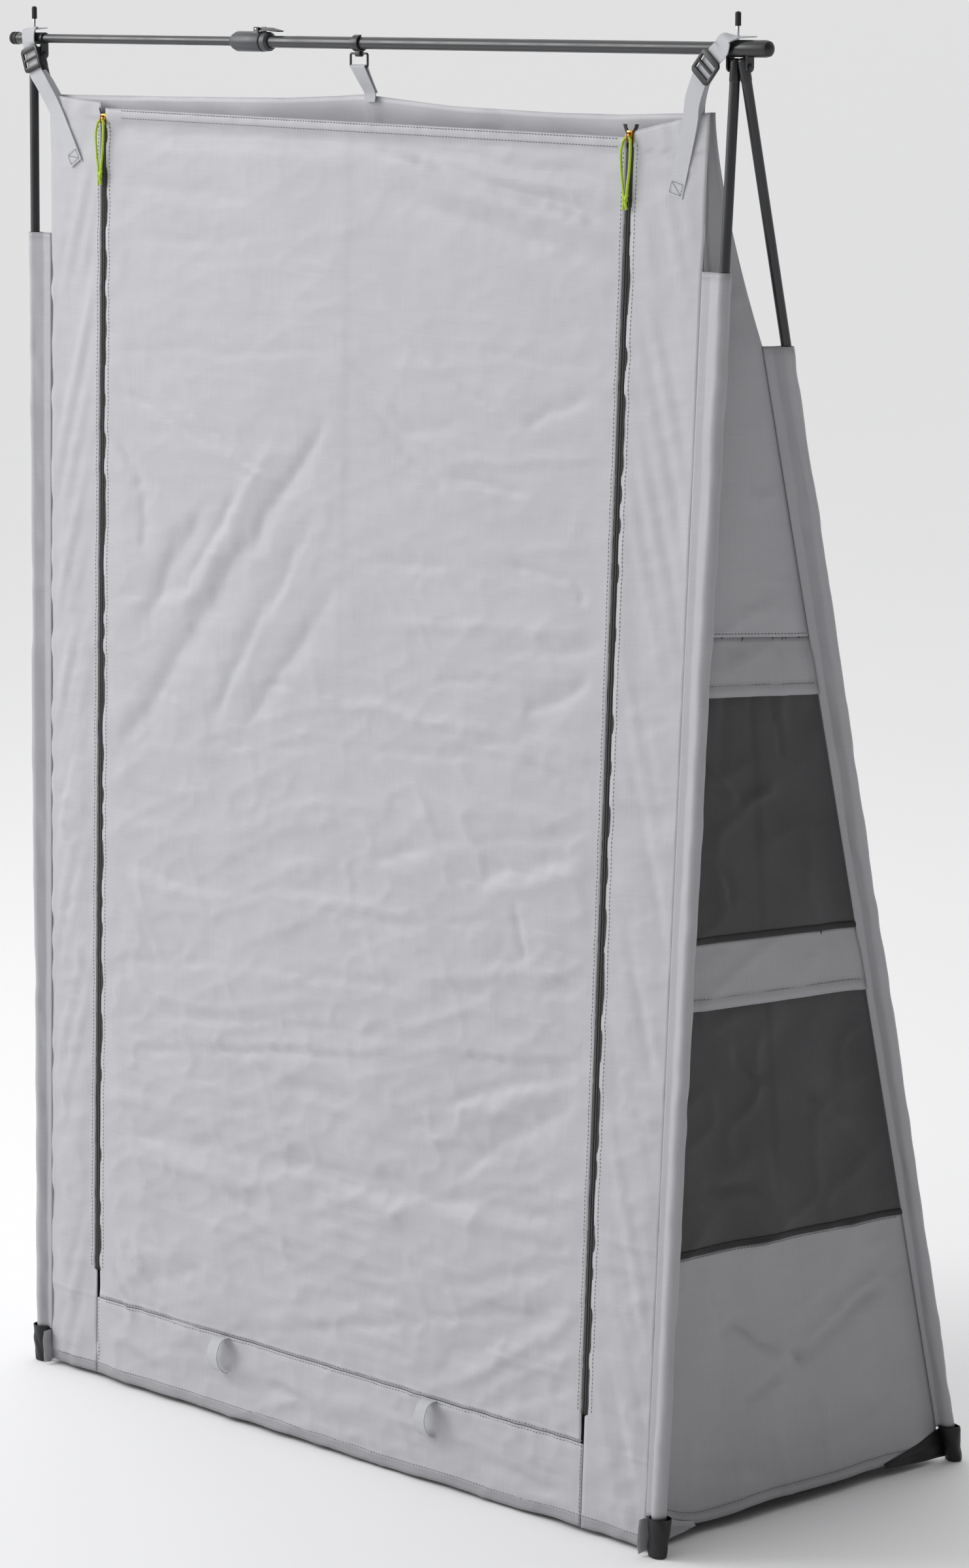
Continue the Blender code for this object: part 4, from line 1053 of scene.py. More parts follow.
# Folds of a side wall: across from the front seam as 0 to the rear seam as 480.
WALL_CREASES = creases(
    """
432 283 230 196 13 -7; 230 196 150 165 10 -5; 125 278 235 224 12 -6; 235 224 260 200 9 -4;
440 300 250 214 16 4; 90 330 130 250 12 -3; 60 90 200 60 10 -3; 250 70 420 120 12 -3;
300 1090 330 1010 10 -3; 60 1010 190 960 8 3; 190 960 300 975 8 3; 120 900 160 830 9 -3;
150 640 230 590 9 -3; 320 560 400 500 10 3; 90 470 200 440 9 -3; 60 1200 75 1800 10 -6
"""
)


@dataclass
class FrontRelief:
    """How far the front wall's cloth stands out of its plane."""

    layout: Layout
    strength: float = 1.0
    belly: float = 2.4 * MM
    pucker: float = 2.0 * MM

    def __post_init__(self) -> None:
        """Draws the seeded patterns and reads the creases."""
        self.noise = [Wander(seed) for seed in range(11, 18)]
        self.creases = creases(UPPER_CREASES) + creases(LOWER_CREASES)

    def folds(self, x: Array, z: Array) -> Array:
        """Adds up the creases.

        Args:
            x: Places along the rail.
            z: Heights.

        Returns:
            How far the folds stand out.
        """
        warp_x = 7 * self.noise[0].at(x * 22, z * 22) + 2.5 * self.noise[1].at(x * 70, z * 70)
        warp_z = 5 * self.noise[2].at(x * 20, z * 20) + 2.5 * self.noise[3].at(x * 64, z * 64)
        return fold_heights(self.creases, x * 1000 + warp_x, z * 1000 + warp_z) * MM * self.strength

    def crinkle(self, x: Array, z: Array) -> Array:
        """Fine crushed lines, mostly across the wall and denser towards its foot.

        Args:
            x: Places along the rail.
            z: Heights.

        Returns:
            How far they stand out.
        """
        low = smooth_step(1.5, 0.55, z)
        bend = 0.9 * self.noise[0].at(x * 3.2, z * 3.2)
        ridges = (1 - np.abs(self.noise[5].at(x * 5.5 + bend, z * 34 + 2.4 * bend))) ** 3
        slanted = (1 - np.abs(self.noise[6].at(x * 15 + z * 8, z * 30 - x * 13))) ** 3
        fine = (1 - np.abs(self.noise[1].at(x * 20 - z * 9, z * 58 + x * 9))) ** 3
        return MM * (
            (0.7 + 2.4 * low) * (ridges - 0.25)
            + (0.7 + 1.3 * low) * (slanted - 0.25)
            + (0.4 + 0.8 * low) * (fine - 0.25)
        )

    def at(self, x: Array, z: Array) -> Array:
        """Reads the relief.

        Args:
            x: Places along the rail.
            z: Heights.

        Returns:
            How far the cloth stands towards the front.
        """
        layout = self.layout
        to_zip = np.minimum(*(np.abs(x - layout.zip_x(side, z)) for side in (-1, 1)))
        to_seam = np.minimum(*(np.abs(x - layout.front_seam_x(side, z)) for side in (-1, 1)))
        low = smooth_step(1.35, 0.45, z)
        swell = self.belly * self.noise[4].at(x * 3.1 + 5, z * 2.3)
        waves = 1.2 * MM * (0.2 + low) * self.noise[5].at(x * 4 + 0.5 * z, z * 21)
        inside = smooth_step(0.004, 0.050, to_zip) * smooth_step(0.0, 0.030, to_seam)
        zip_folds = self.pucker * self.noise[3].at(x * 14 + 9, z * 52) * np.exp(-to_zip / 0.024)
        seam_folds = self.pucker * 0.8 * self.noise[2].at(x * 12 + 3, z * 40) * np.exp(-to_seam / 0.016)
        near = smooth_step(0.001, 0.008, to_zip)
        steep = np.sign(x) * 0.30
        strip = smooth_step(0.0, 0.02, np.abs(x) - np.abs(layout.zip_x(np.sign(x), z)))
        strip_folds = 1.6 * MM * strip * inside * self.noise[6].at((x + steep * z) * 62, z * 6)
        sill = self.pucker * self.noise[0].at(x * 52, z * 9) * np.exp(-np.abs(z - layout.door_seam_z) / 0.016)
        cloth_folds = self.folds(x, z) + swell + waves + self.crinkle(x, z)
        return inside * cloth_folds + near * (zip_folds + sill * inside) + seam_folds + strip_folds

    def point(self, x: Array, z: Array, stand_off: float = 0.0) -> Array:
        """Finds points on the front wall's cloth.

        Args:
            x: Places along the rail.
            z: Heights.
            stand_off: How far the points stand before the cloth.

        Returns:
            One row for each point.
        """
        return joined(x, self.layout.front_y(z) - self.at(x, z) - stand_off, z)


# ---- The cover ----------------------------------------------------------------------------------------
FRONT = (0.0, -1.0, 0.0)


@dataclass
class FrontWall:
    """The zipped door, the strip on each side of it, the sill under it, their hems and their stitching."""

    layout: Layout
    relief: FrontRelief
    hem: float = 0.015
    foot_z: float = 0.004
    top_left: float = 1.806
    top_right: float = 1.790
    zip_edge: float = 5.2 * MM
    pitch: float = 5.8 * MM
    stitch_inset: float = 12.0 * MM
    # Where the painted shade line for the rear wall's middle seam runs up the door.
    ghost_seam_x: float = -0.02

    def door_top(self, x: Array) -> Array:
        """The door's upper edge at x, lower towards the right."""
        return mix(self.top_left, self.top_right, (x + 0.5) / 1.0)

    def foot(self, x: Array) -> Array:
        """The wall's lower edge at x, a little wavy."""
        return self.foot_z + 1.6 * MM * (1 + self.relief.noise[0].at(x * 9, x * 0 + 2))

    def door_x(self, across: Array, z: Array) -> Array:
        """The door's X at a share across it."""
        left = self.layout.zip_x(-1, z) + self.zip_edge
        right = self.layout.zip_x(1, z) - self.zip_edge
        return mix(left, right, across)

    def tone(self, x: Array, z: Array) -> Array:
        """Darkens the foot hem and the sill's seam, lightens a band beside that seam, and paints shade: a shadow line
        under the top hem and a faint line for the rear wall's middle seam.

        Args:
            x: Places along the rail.
            z: Heights.

        Returns:
            A brightness for each place.
        """
        # Painted shadow: a dark line along the lower edge of the door's top hem.
        hem_shadow = np.exp(-(((z - self.door_top(x) + self.hem) / 0.0016) ** 2))
        seam = np.exp(-(((z - self.layout.door_seam_z) / 0.0022) ** 2))
        # Painted shade: a faint upright line darkening the door where the rear wall's middle seam stands behind it.
        rear_seam_shade = np.exp(-(((x - self.ghost_seam_x) / 0.009) ** 2)) * smooth_step(0.85, 1.2, z)
        foot_hem = smooth_step(0.016, 0.0145, z - self.foot(x))
        band = smooth_step(0.0085, 0.0065, np.abs(z - self.layout.door_seam_z))
        return 1 - 0.20 * hem_shadow - 0.26 * seam + 0.07 * band - 0.05 * rear_seam_shade - 0.30 * foot_hem

    def build_door(self) -> bpy.types.Object:
        """Builds the door.

        Returns:
            The door.
        """
        seam_z = self.layout.door_seam_z + 0.4 * MM

        def spot(across: Array, up: Array) -> tuple[Array, Array]:
            top = self.door_top(mix(-0.5, 0.5, across))
            z = mix(seam_z, top, up)
            return self.door_x(across, z), z

        def shape(across: Array, up: Array) -> Array:
            x, z = spot(across, up)
            points = self.relief.point(x, z)
            doubled = smooth_step(self.door_top(x) - self.hem - 0.001, self.door_top(x) - self.hem, z)
            lumps = 0.5 * MM * self.relief.noise[2].at(x * 70, z * 20)
            points[:, 1] -= (1.6 * MM + lumps) * doubled
            under = (self.door_top(x) - self.hem - z) / (8 * MM)
            ends = smooth_step(0, 0.04, across) * smooth_step(1, 0.96, across)
            sag = 4.6 * MM * ends * mix(1.0, 0.45, smooth_step(0.35, 0.8, across))
            points[:, 1] += sag * np.where(under > 0, under * np.exp(1 - under), 0)
            return points

        grid = Grid(166, 288, 0.97, 1.68)
        door = cloth("door", grid, shape, tone=lambda across, up: self.tone(*spot(across, up)))
        dress(door, Finish.TAFFETA.material(), Finish.TAFFETA.slot, "door", "door_panel")
        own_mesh(door)
        return door

    def build_sill(self) -> bpy.types.Object:
        """Builds the sill that the door hangs from when it is down.

        Returns:
            The sill.
        """
        seam_z = self.layout.door_seam_z - 0.4 * MM

        def spot(across: Array, up: Array) -> tuple[Array, Array]:
            rough_x = mix(-0.48, 0.47, across)
            z = mix(self.foot(rough_x), seam_z, up)
            left = self.layout.zip_x(-1, z) + 0.6 * MM
            right = self.layout.zip_x(1, z) - 0.6 * MM
            return mix(left, right, across), z

        grid = Grid(166, 20, 0.95, 0.115)
        sill = cloth(
            "sill", grid, lambda across, up: self.relief.point(*spot(across, up)),
            tone=lambda across, up: self.tone(*spot(across, up)),
        )
        dress(sill, Finish.TAFFETA.material(), Finish.TAFFETA.slot, "right_frame", "front_sill")
        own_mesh(sill)
        return sill

    def build_strip(self, side: Side) -> bpy.types.Object:
        """Builds the strip between a zip and the corner seam.

        Args:
            side: Which end.

        Returns:
            The strip.
        """
        sign = side.value

        def spot(across: Array, up: Array) -> tuple[Array, Array]:
            outward = across if sign > 0 else 1 - across
            inner_top = self.door_top(np.array(0.5 * sign)) + 0.008
            z = mix(self.foot(np.full_like(across, 0.5 * sign)), mix(inner_top, self.layout.corner_z, outward), up)
            gap = np.where(z < self.layout.zip_foot_z - 0.004, 0.6 * MM, self.zip_edge)
            inner = self.layout.zip_x(sign, z) + sign * gap
            return mix(inner, self.layout.front_seam_x(sign, z), outward), z

        grid = Grid(20, 314, 0.1, 1.82)
        strip = cloth(
            f"strip_{side.word}", grid, lambda across, up: self.relief.point(*spot(across, up)),
            tone=lambda across, up: self.tone(*spot(across, up)),
        )
        dress(strip, Finish.TAFFETA.material(), Finish.TAFFETA.slot, "right_frame", f"front_strip_{side.word}")
        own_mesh(strip)
        return strip

    def stitch(self) -> None:
        """Sews the zips' edges, the hems and the sill's seam."""
        on_door, on_frame = Stitching("door_stitching"), Stitching("front_stitching")
        heights = np.linspace(self.layout.zip_foot_z, 1.785, 900)
        low = np.linspace(self.foot_z + 0.004, self.layout.door_seam_z, 80)
        for sign in (-1, 1):
            line_x = self.layout.zip_x(sign, heights)
            on_door.run(self.relief.point(line_x - sign * self.stitch_inset, heights), FRONT)
            on_frame.run(self.relief.point(line_x + sign * self.stitch_inset, heights), FRONT)
            on_frame.run(self.relief.point(self.layout.zip_x(sign, low) - sign * 3.5 * MM, low), FRONT)
        x = np.linspace(-0.478, 0.468, 500)
        top = self.door_top(x)
        on_door.run(self.relief.point(x, top - self.hem + 2.0 * MM, 1.9 * MM), FRONT)
        on_door.run(self.relief.point(x, top - 2.8 * MM, 1.9 * MM), FRONT)
        seam = x * 0 + self.layout.door_seam_z
        on_door.run(self.relief.point(x, seam + 3.5 * MM), FRONT)
        on_frame.run(self.relief.point(x, seam - 3.5 * MM), FRONT)
        wide = np.linspace(-0.58, 0.57, 600)
        on_frame.run(self.relief.point(wide, self.foot(wide) + self.hem), FRONT)
        for stitching, body in ((on_door, "door"), (on_frame, "right_frame")):
            piece = dress(stitching.build(), Finish.THREAD.material(), Finish.THREAD.slot, body)
            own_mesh(piece)

    def build(self) -> None:
        """Builds every piece of the front wall."""
        self.build_door()
        self.build_sill()
        for side in Side:
            self.build_strip(side)
        self.stitch()


@dataclass
class Zip:
    """A coil zip beside the door, with its slider and the cord looped through the slider's bail."""

    layout: Layout
    side: Side
    tape: float = 5.0 * MM
    coil: float = 1.3 * MM
    cord: float = 3.5 * MM
    top_z: float = 1.806

    def axis(self) -> tuple[Vector, Vector]:
        """Finds the zip's top and the way down it.

        Returns:
            A point and a unit vector.
        """
        sign, layout = self.side.value, self.layout
        top, foot = (
            Vector((float(layout.zip_x(sign, z)), float(layout.front_y(z)), z))
            for z in (layout.zip_top_z, layout.zip_foot_z)
        )
        return top, (foot - top).normalized()

    def build_half(self, half: str, sign: int, body: str) -> None:
        """Builds one half: a row of coil along its inner edge and flat tape outside it.

        Args:
            half: "door" or "frame".
            sign: Which way the tape lies from the coil.
            body: The body that it rides on.
        """

        def shape(across: Array, up: Array) -> Array:
            reach = across if sign > 0 else 1 - across
            z = mix(self.layout.zip_foot_z - 0.003, self.top_z, up)
            parting = 7.0 * MM * smooth_step(1.789, self.top_z, z)
            x = self.layout.zip_x(self.side.value, z) + sign * (0.25 * MM + parting + reach * (self.tape + 1 * MM))
            ridge = np.sqrt(np.clip(1 - ((reach * self.tape / self.coil) - 1) ** 2, 0, 1))
            return joined(x, self.layout.front_y(z) - 0.2 * MM - ridge * self.coil, z)

        name = f"zip_{self.side.word}_{half}"
        piece = cloth(name, Grid(14, 420, self.tape, 1.65), shape, 0.6 * MM)
        dress(piece, Finish.COIL.material(), Finish.COIL.slot, body, f"zip_{self.side.word}_{half}_half")
        if half == "door":
            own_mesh(piece)

    def cord_route(self) -> Array:
        """Follows the pull cord: out of one side of the bail, down to the knot and back to the other side.

        Returns:
            One row for each point.
        """
        top, down = self.axis()
        across = (Vector((1, 0, 0)) - down * down.x).normalized()
        back = down.cross(across).normalized()
        back = -back if back.y < 0 else back
        base = top + down * (0.002 + 0.0022) - back * (0.00255 - 0.0002)
        eye = base + down * 0.0062 - back * 0.0034
        radius = self.cord / 2
        strand = [
            (0.0012, 0, 0), (0.0027, 0.0004, 0.0001), (0.0054, 0.0042, 0.0010), (0.0072, 0.0200, 0.0030),
            (0.0060, 0.0420, 0.0036), (0.0036, 0.0600, 0.0040), (radius * 1.4, 0.0715, 0.0042),
            (radius, 0.0735, 0.0042),
        ]
        other = [(-a * (1.2 if 0.004 < drop < 0.07 else 1), drop, out) for a, drop, out in reversed(strand)]
        points = [
            tuple(eye + across * a + Vector((0, 0, -drop)) - back * out)
            for a, drop, out in [*strand, (0, 0.0742, 0.0042), *other]
        ]
        return smooth_route(points, 2.2 * MM)

    def build_cord(self) -> None:
        """Builds the pull cord and the knot that ties its ends."""
        route = self.cord_route()
        word = self.side.word
        curve = bpy.data.curves.new(f"pull_loop_{word}", "CURVE")
        curve.dimensions = "3D"
        curve.bevel_depth = self.cord / 2
        curve.bevel_resolution = 3
        curve.use_fill_caps = True
        spline = curve.splines.new("POLY")
        spline.points.add(len(route) - 1)
        spline.points.foreach_set("co", np.hstack([route, np.ones((len(route), 1))]).ravel())
        loop = bpy.data.objects.new(curve.name, curve)
        bpy.context.scene.collection.objects.link(loop)
        body = f"slider_{word}"
        dress(loop, Finish.CORD.material(), Finish.CORD.slot, body, f"pull_cord_{word}")
        knot = self.build_knot(route[np.argmin(route[:, 2])])
        dress(knot, Finish.CORD.material(), Finish.CORD.slot, body)

    def build_knot(self, centre: Array) -> bpy.types.Object:
        """Ties an overhand knot with two short tails under it.

        Args:
            centre: The loop's lowest point.

        Returns:
            The knot.
        """
        radius = self.cord / 2
        turns = np.linspace(0, 2 * math.pi, 60)
        wound = joined(
            (np.sin(turns) + 1.7 * np.sin(2 * turns)) * radius * 0.95,
            -np.sin(3 * turns) * radius * 0.8,
            (np.cos(turns) - 1.7 * np.cos(2 * turns)) * radius * 1.25,
        )
        tails = [
            smooth_route(
                [(0, 0, -2 * MM), (way * 1.6 * MM, -0.6 * MM, -7 * MM), (way * 3.0 * MM, 0, -15 * MM)],
                1.5 * MM,
            )
            for way in (-1, 1)
        ]
        pieces = []
        for line in (wound, *tails):
            curve = bpy.data.curves.new("winding", "CURVE")
            curve.dimensions, curve.bevel_depth, curve.bevel_resolution = "3D", radius, 3
            curve.use_fill_caps = True
            spline = curve.splines.new("POLY")
            spline.points.add(len(line) - 1)
            spline.points.foreach_set("co", np.hstack([line + centre, np.ones((len(line), 1))]).ravel())
            pieces.append(bpy.data.objects.new("winding", curve))
            bpy.context.scene.collection.objects.link(pieces[-1])
        bpy.ops.object.select_all(action="DESELECT")
        for piece in pieces:
            piece.select_set(True)
        bpy.context.view_layer.objects.active = pieces[0]
        bpy.ops.object.convert(target="MESH")
        bpy.ops.object.join()
        knot = bpy.context.object
        knot.name = knot.data.name = f"knot_{self.side.word}"
        shade_smooth(knot)
        return knot

    def build(self) -> None:
        """Builds the zip."""
        word, sign = self.side.word, self.side.value
        self.build_cord()
        self.build_half("door", -sign, "door")
        self.build_half("frame", sign, f"zip_line_{word}")
        finished_copy(f"zip_slider_{word}", Finish.BRASS.material(), Finish.BRASS.slot, 0.3 * MM)


@dataclass
class SideWall:
    """A side wall: two mesh windows under their flaps, between an upper and a lower panel."""

    layout: Layout
    side: Side
    upper_flap: tuple[float, float] = (1.179, 1.103)
    upper_mesh_foot: float = 0.790
    lower_flap: tuple[float, float] = (0.790, 0.701)
    lower_mesh_foot: float = 0.383
    foot_z: float = 0.016
    hem: float = 0.015
    binding: float = 0.008
    sway: float = 5.0 * MM

    def __post_init__(self) -> None:
        """Draws the seeded patterns and stores a fold joint's settings, which nothing here reads."""
        self.noise = [Wander(40 + 5 * self.side.value + i) for i in range(4)]
        self.fold = {
            "joint": f"{self.side.word}_leg_fold",
            "axis": (0, 0.9994, -0.0346),
            "anchor": (0, self.layout.front_y(0.9), 0.9),
            "keep": 0.30,
        }
        self.body = f"{self.side.word}_frame"

    def relief(self, share: Array, z: Array) -> Array:
        """How far the wall stands out at a place.

        Args:
            share: From the front seam to the rear seam.
            z: Heights.

        Returns:
            A distance outwards.
        """
        width = np.linalg.norm(
            self.layout.rear_seam(self.side.value, z) - self.layout.front_seam(self.side.value, z), axis=-1
        )
        y = share * width
        held = smooth_step(0, 0.10, share) * smooth_step(1, 0.90, share)
        long_folds = self.sway * self.noise[0].at(y * 9 + 2, z * 1.6)
        slack = 1.8 * MM * self.noise[1].at(y * 16 + z * 5, z * 7)
        warp = 6 * self.noise[3].at(y * 20, z * 20)
        creased = MM * fold_heights(WALL_CREASES, share * 480 + warp, z * 1000 + warp)
        ridges = (1 - np.abs(self.noise[2].at(y * 13 + z * 4, z * 15 - y * 6))) ** 3
        gathers = 0.0
        for edge in (self.upper_flap[0], self.lower_mesh_foot, self.upper_flap[1]):
            below = edge - self.layout.side_drop * share - z
            gathers = gathers + np.where(below > 0, np.exp(-below / 0.05), 0) * self.noise[1].at(y * 62, z * 5)
        return held * (long_folds + slack + 1.7 * creased + 2.6 * MM * (ridges - 0.25) + 1.8 * MM * gathers)

    def foot(self, share: Array) -> Array:
        """The wall's wavy lower edge, which climbs to the front boot's top."""
        waves = 3.5 * MM * self.noise[3].at(share * 5, share * 0)
        return self.foot_z + 3 * MM - 6 * MM * share + waves + 0.026 * np.exp(-((share / 0.10) ** 2))

    def point(self, share: Array, z: Array, stand_off: float | Array = 0.0) -> Array:
        """A point on the wall's cloth."""
        return self.layout.wall_point(self.side.value, share, z, self.relief(share, z) + stand_off)

    def area(
        self, name: str, upper: float, lower: float, finish: Finish, stand_off: float = 0.0, *replaced: str
    ) -> bpy.types.Object:
        """Builds the part of the wall between two cross seams.

        Args:
            name: The piece's name.
            upper: The upper seam's height at the front.
            lower: The lower seam's height at the front.
            finish: Its fabric.
            stand_off: How far it stands outside the wall.
            replaced: The nodes that it stands for.

        Returns:
            The piece.
        """
        hemmed = stand_off > 0

        def spot(across: Array, up: Array) -> tuple[Array, Array]:
            share = across if self.side is Side.RIGHT else 1 - across
            z = mix(self.layout.slanted(share, lower), self.layout.slanted(share, upper), up)
            if lower < 0.1:
                z = z + (1 - up) ** 3 * (self.foot(share) - lower)
            return share, z

        def shape(across: Array, up: Array) -> Array:
            share, z = spot(across, up)
            lift = stand_off * smooth_step(1.0, 0.55, up) if hemmed else 0 * up
            return self.point(share, z, lift + (1 - up) * 1.2 * MM * hemmed * self.noise[3].at(share * 9, up))

        def tone(across: Array, up: Array) -> Array:
            share, z = spot(across, up)
            start = self.foot(share) if lower < 0.1 else self.layout.slanted(share, lower)
            line = np.exp(-(((z - start - self.hem) / 0.0030) ** 2))
            edge = smooth_step(0.004, 0.0, np.abs(z - self.layout.slanted(share, upper)))
            seam = np.exp(-(((share - 0.5) * 60) ** 2)) if finish is Finish.WINDOW else 0
            # Painted light: the plain upper panel is drawn 14 % lighter, for the light that falls on the wall's upper
            # part.
            light = 1.14 if lower > 1 and not hemmed and finish is not Finish.WINDOW else 1
            return light - (0.22 * line if hemmed or lower < 0.1 else 0) - 0.22 * edge - 0.35 * seam

        height = upper - lower
        top_width, foot_width = (
            float(np.linalg.norm(
                self.layout.rear_seam(self.side.value, np.array([z]))
                - self.layout.front_seam(self.side.value, np.array([z])),
            ))
            for z in (min(upper, 1.8), lower)
        )
        mid = (top_width + foot_width) / 2
        grid = Grid(max(24, round(mid / 0.006)), max(8, round(height / 0.007)), mid, height)
        piece = cloth(name, grid, shape, 0.4 * MM, tone)
        dress(piece, finish.material(), finish.slot, self.body, *replaced)
        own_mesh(piece)
        return piece

    def build(self) -> None:
        """Builds the wall from its top down."""
        word = self.side.word
        wall, mesh = Finish.WALL_TAFFETA, Finish.WINDOW
        top = self.layout.corner_z
        self.area(f"upper_panel_{word}", top, self.upper_flap[0], wall, 0.0, f"side_upper_{word}")
        self.area(
            f"upper_window_{word}", self.upper_flap[0], self.upper_mesh_foot, mesh, 0.0, f"side_mesh_upper_{word}"
        )
        self.area(
            f"lower_window_{word}", self.lower_flap[0], self.lower_mesh_foot, mesh, 0.0, f"side_mesh_lower_{word}"
        )
        self.area(f"lower_panel_{word}", self.lower_mesh_foot, self.foot_z, wall, 0.0, f"side_lower_{word}")
        self.area(f"upper_flap_{word}", *self.upper_flap, wall, 3 * MM, f"side_flap_upper_{word}")
        self.area(f"lower_flap_{word}", *self.lower_flap, wall, 3 * MM, f"side_flap_lower_{word}")
        self.build_bindings()
        self.build_gusset("front", -0.03, 0.16, Finish.WALL_TAFFETA)
        self.build_gusset("rear", 1.05, 0.80, Finish.PACKCLOTH)
        self.stitch()

    def build_gusset(self, end: str, boot: float, tip: float, finish: Finish) -> None:
        """Builds the small three-cornered piece between a boot and the wall's lower edge.

        Args:
            end: "front" or "rear".
            boot: The share across the wall where the boot stands.
            tip: The share across the wall where the piece ends.
            finish: Its material.
        """
        mirrored = (boot < tip) != (self.side is Side.RIGHT)

        def shape(across: Array, up: Array) -> Array:
            reach = 1 - across if mirrored else across
            share = mix(boot, tip, reach)
            crest = self.foot(np.clip(share, 0, 1)) + 4 * MM if end == "front" else mix(0.056, 0.020, reach**0.8)
            z = mix(mix(0.003, 0.013, reach), crest, up)
            lift = 1.6 * MM + 2.0 * MM * self.noise[1].at(reach * 4, up * 3)
            return self.point(share, z, lift)

        piece = cloth(f"gusset_{end}_{self.side.word}", Grid(18, 12, 0.09, 0.05), shape, 0.6 * MM)
        dress(piece, finish.material(), finish.slot, self.body)
        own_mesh(piece)

    def build_bindings(self) -> None:
        """Binds each window's lower edge."""
        for level, z in (("upper", self.upper_mesh_foot), ("lower", self.lower_mesh_foot)):

            def shape(across: Array, up: Array, z: float = z) -> Array:
                share = across if self.side is Side.RIGHT else 1 - across
                height = self.layout.slanted(share, z) + (up - 0.35) * self.binding
                return self.point(share, height, 1.0 * MM + 0.8 * MM * np.sin(math.pi * up))

            piece = cloth(f"binding_{level}_{self.side.word}", Grid(60, 6, 0.4, self.binding), shape, 0.8 * MM)
            dress(piece, Finish.BINDING.material(), Finish.BINDING.slot, self.body)
            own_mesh(piece)

    def stitch(self) -> None:
        """Sews the flaps' hems, the cross seams and the lower hem."""
        stitching = Stitching(f"side_stitching_{self.side.word}")
        share = np.linspace(0.02, 0.98, 200)
        outward = (self.side.value, 0, 0)
        for z, off in (
            (self.upper_flap[1] + self.hem, 3.4 * MM), (self.lower_flap[1] + self.hem, 3.4 * MM),
            (self.upper_flap[0] + 0.004, 0.4 * MM), (self.lower_mesh_foot - 0.006, 0.4 * MM),
        ):
            stitching.run(self.point(share, z - self.layout.side_drop * share, off), outward)
        stitching.run(self.point(share, self.foot(share) + self.hem, 0.3 * MM), outward)
        piece = dress(stitching.build(), Finish.THREAD.material(), Finish.THREAD.slot, self.body)
        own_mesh(piece)


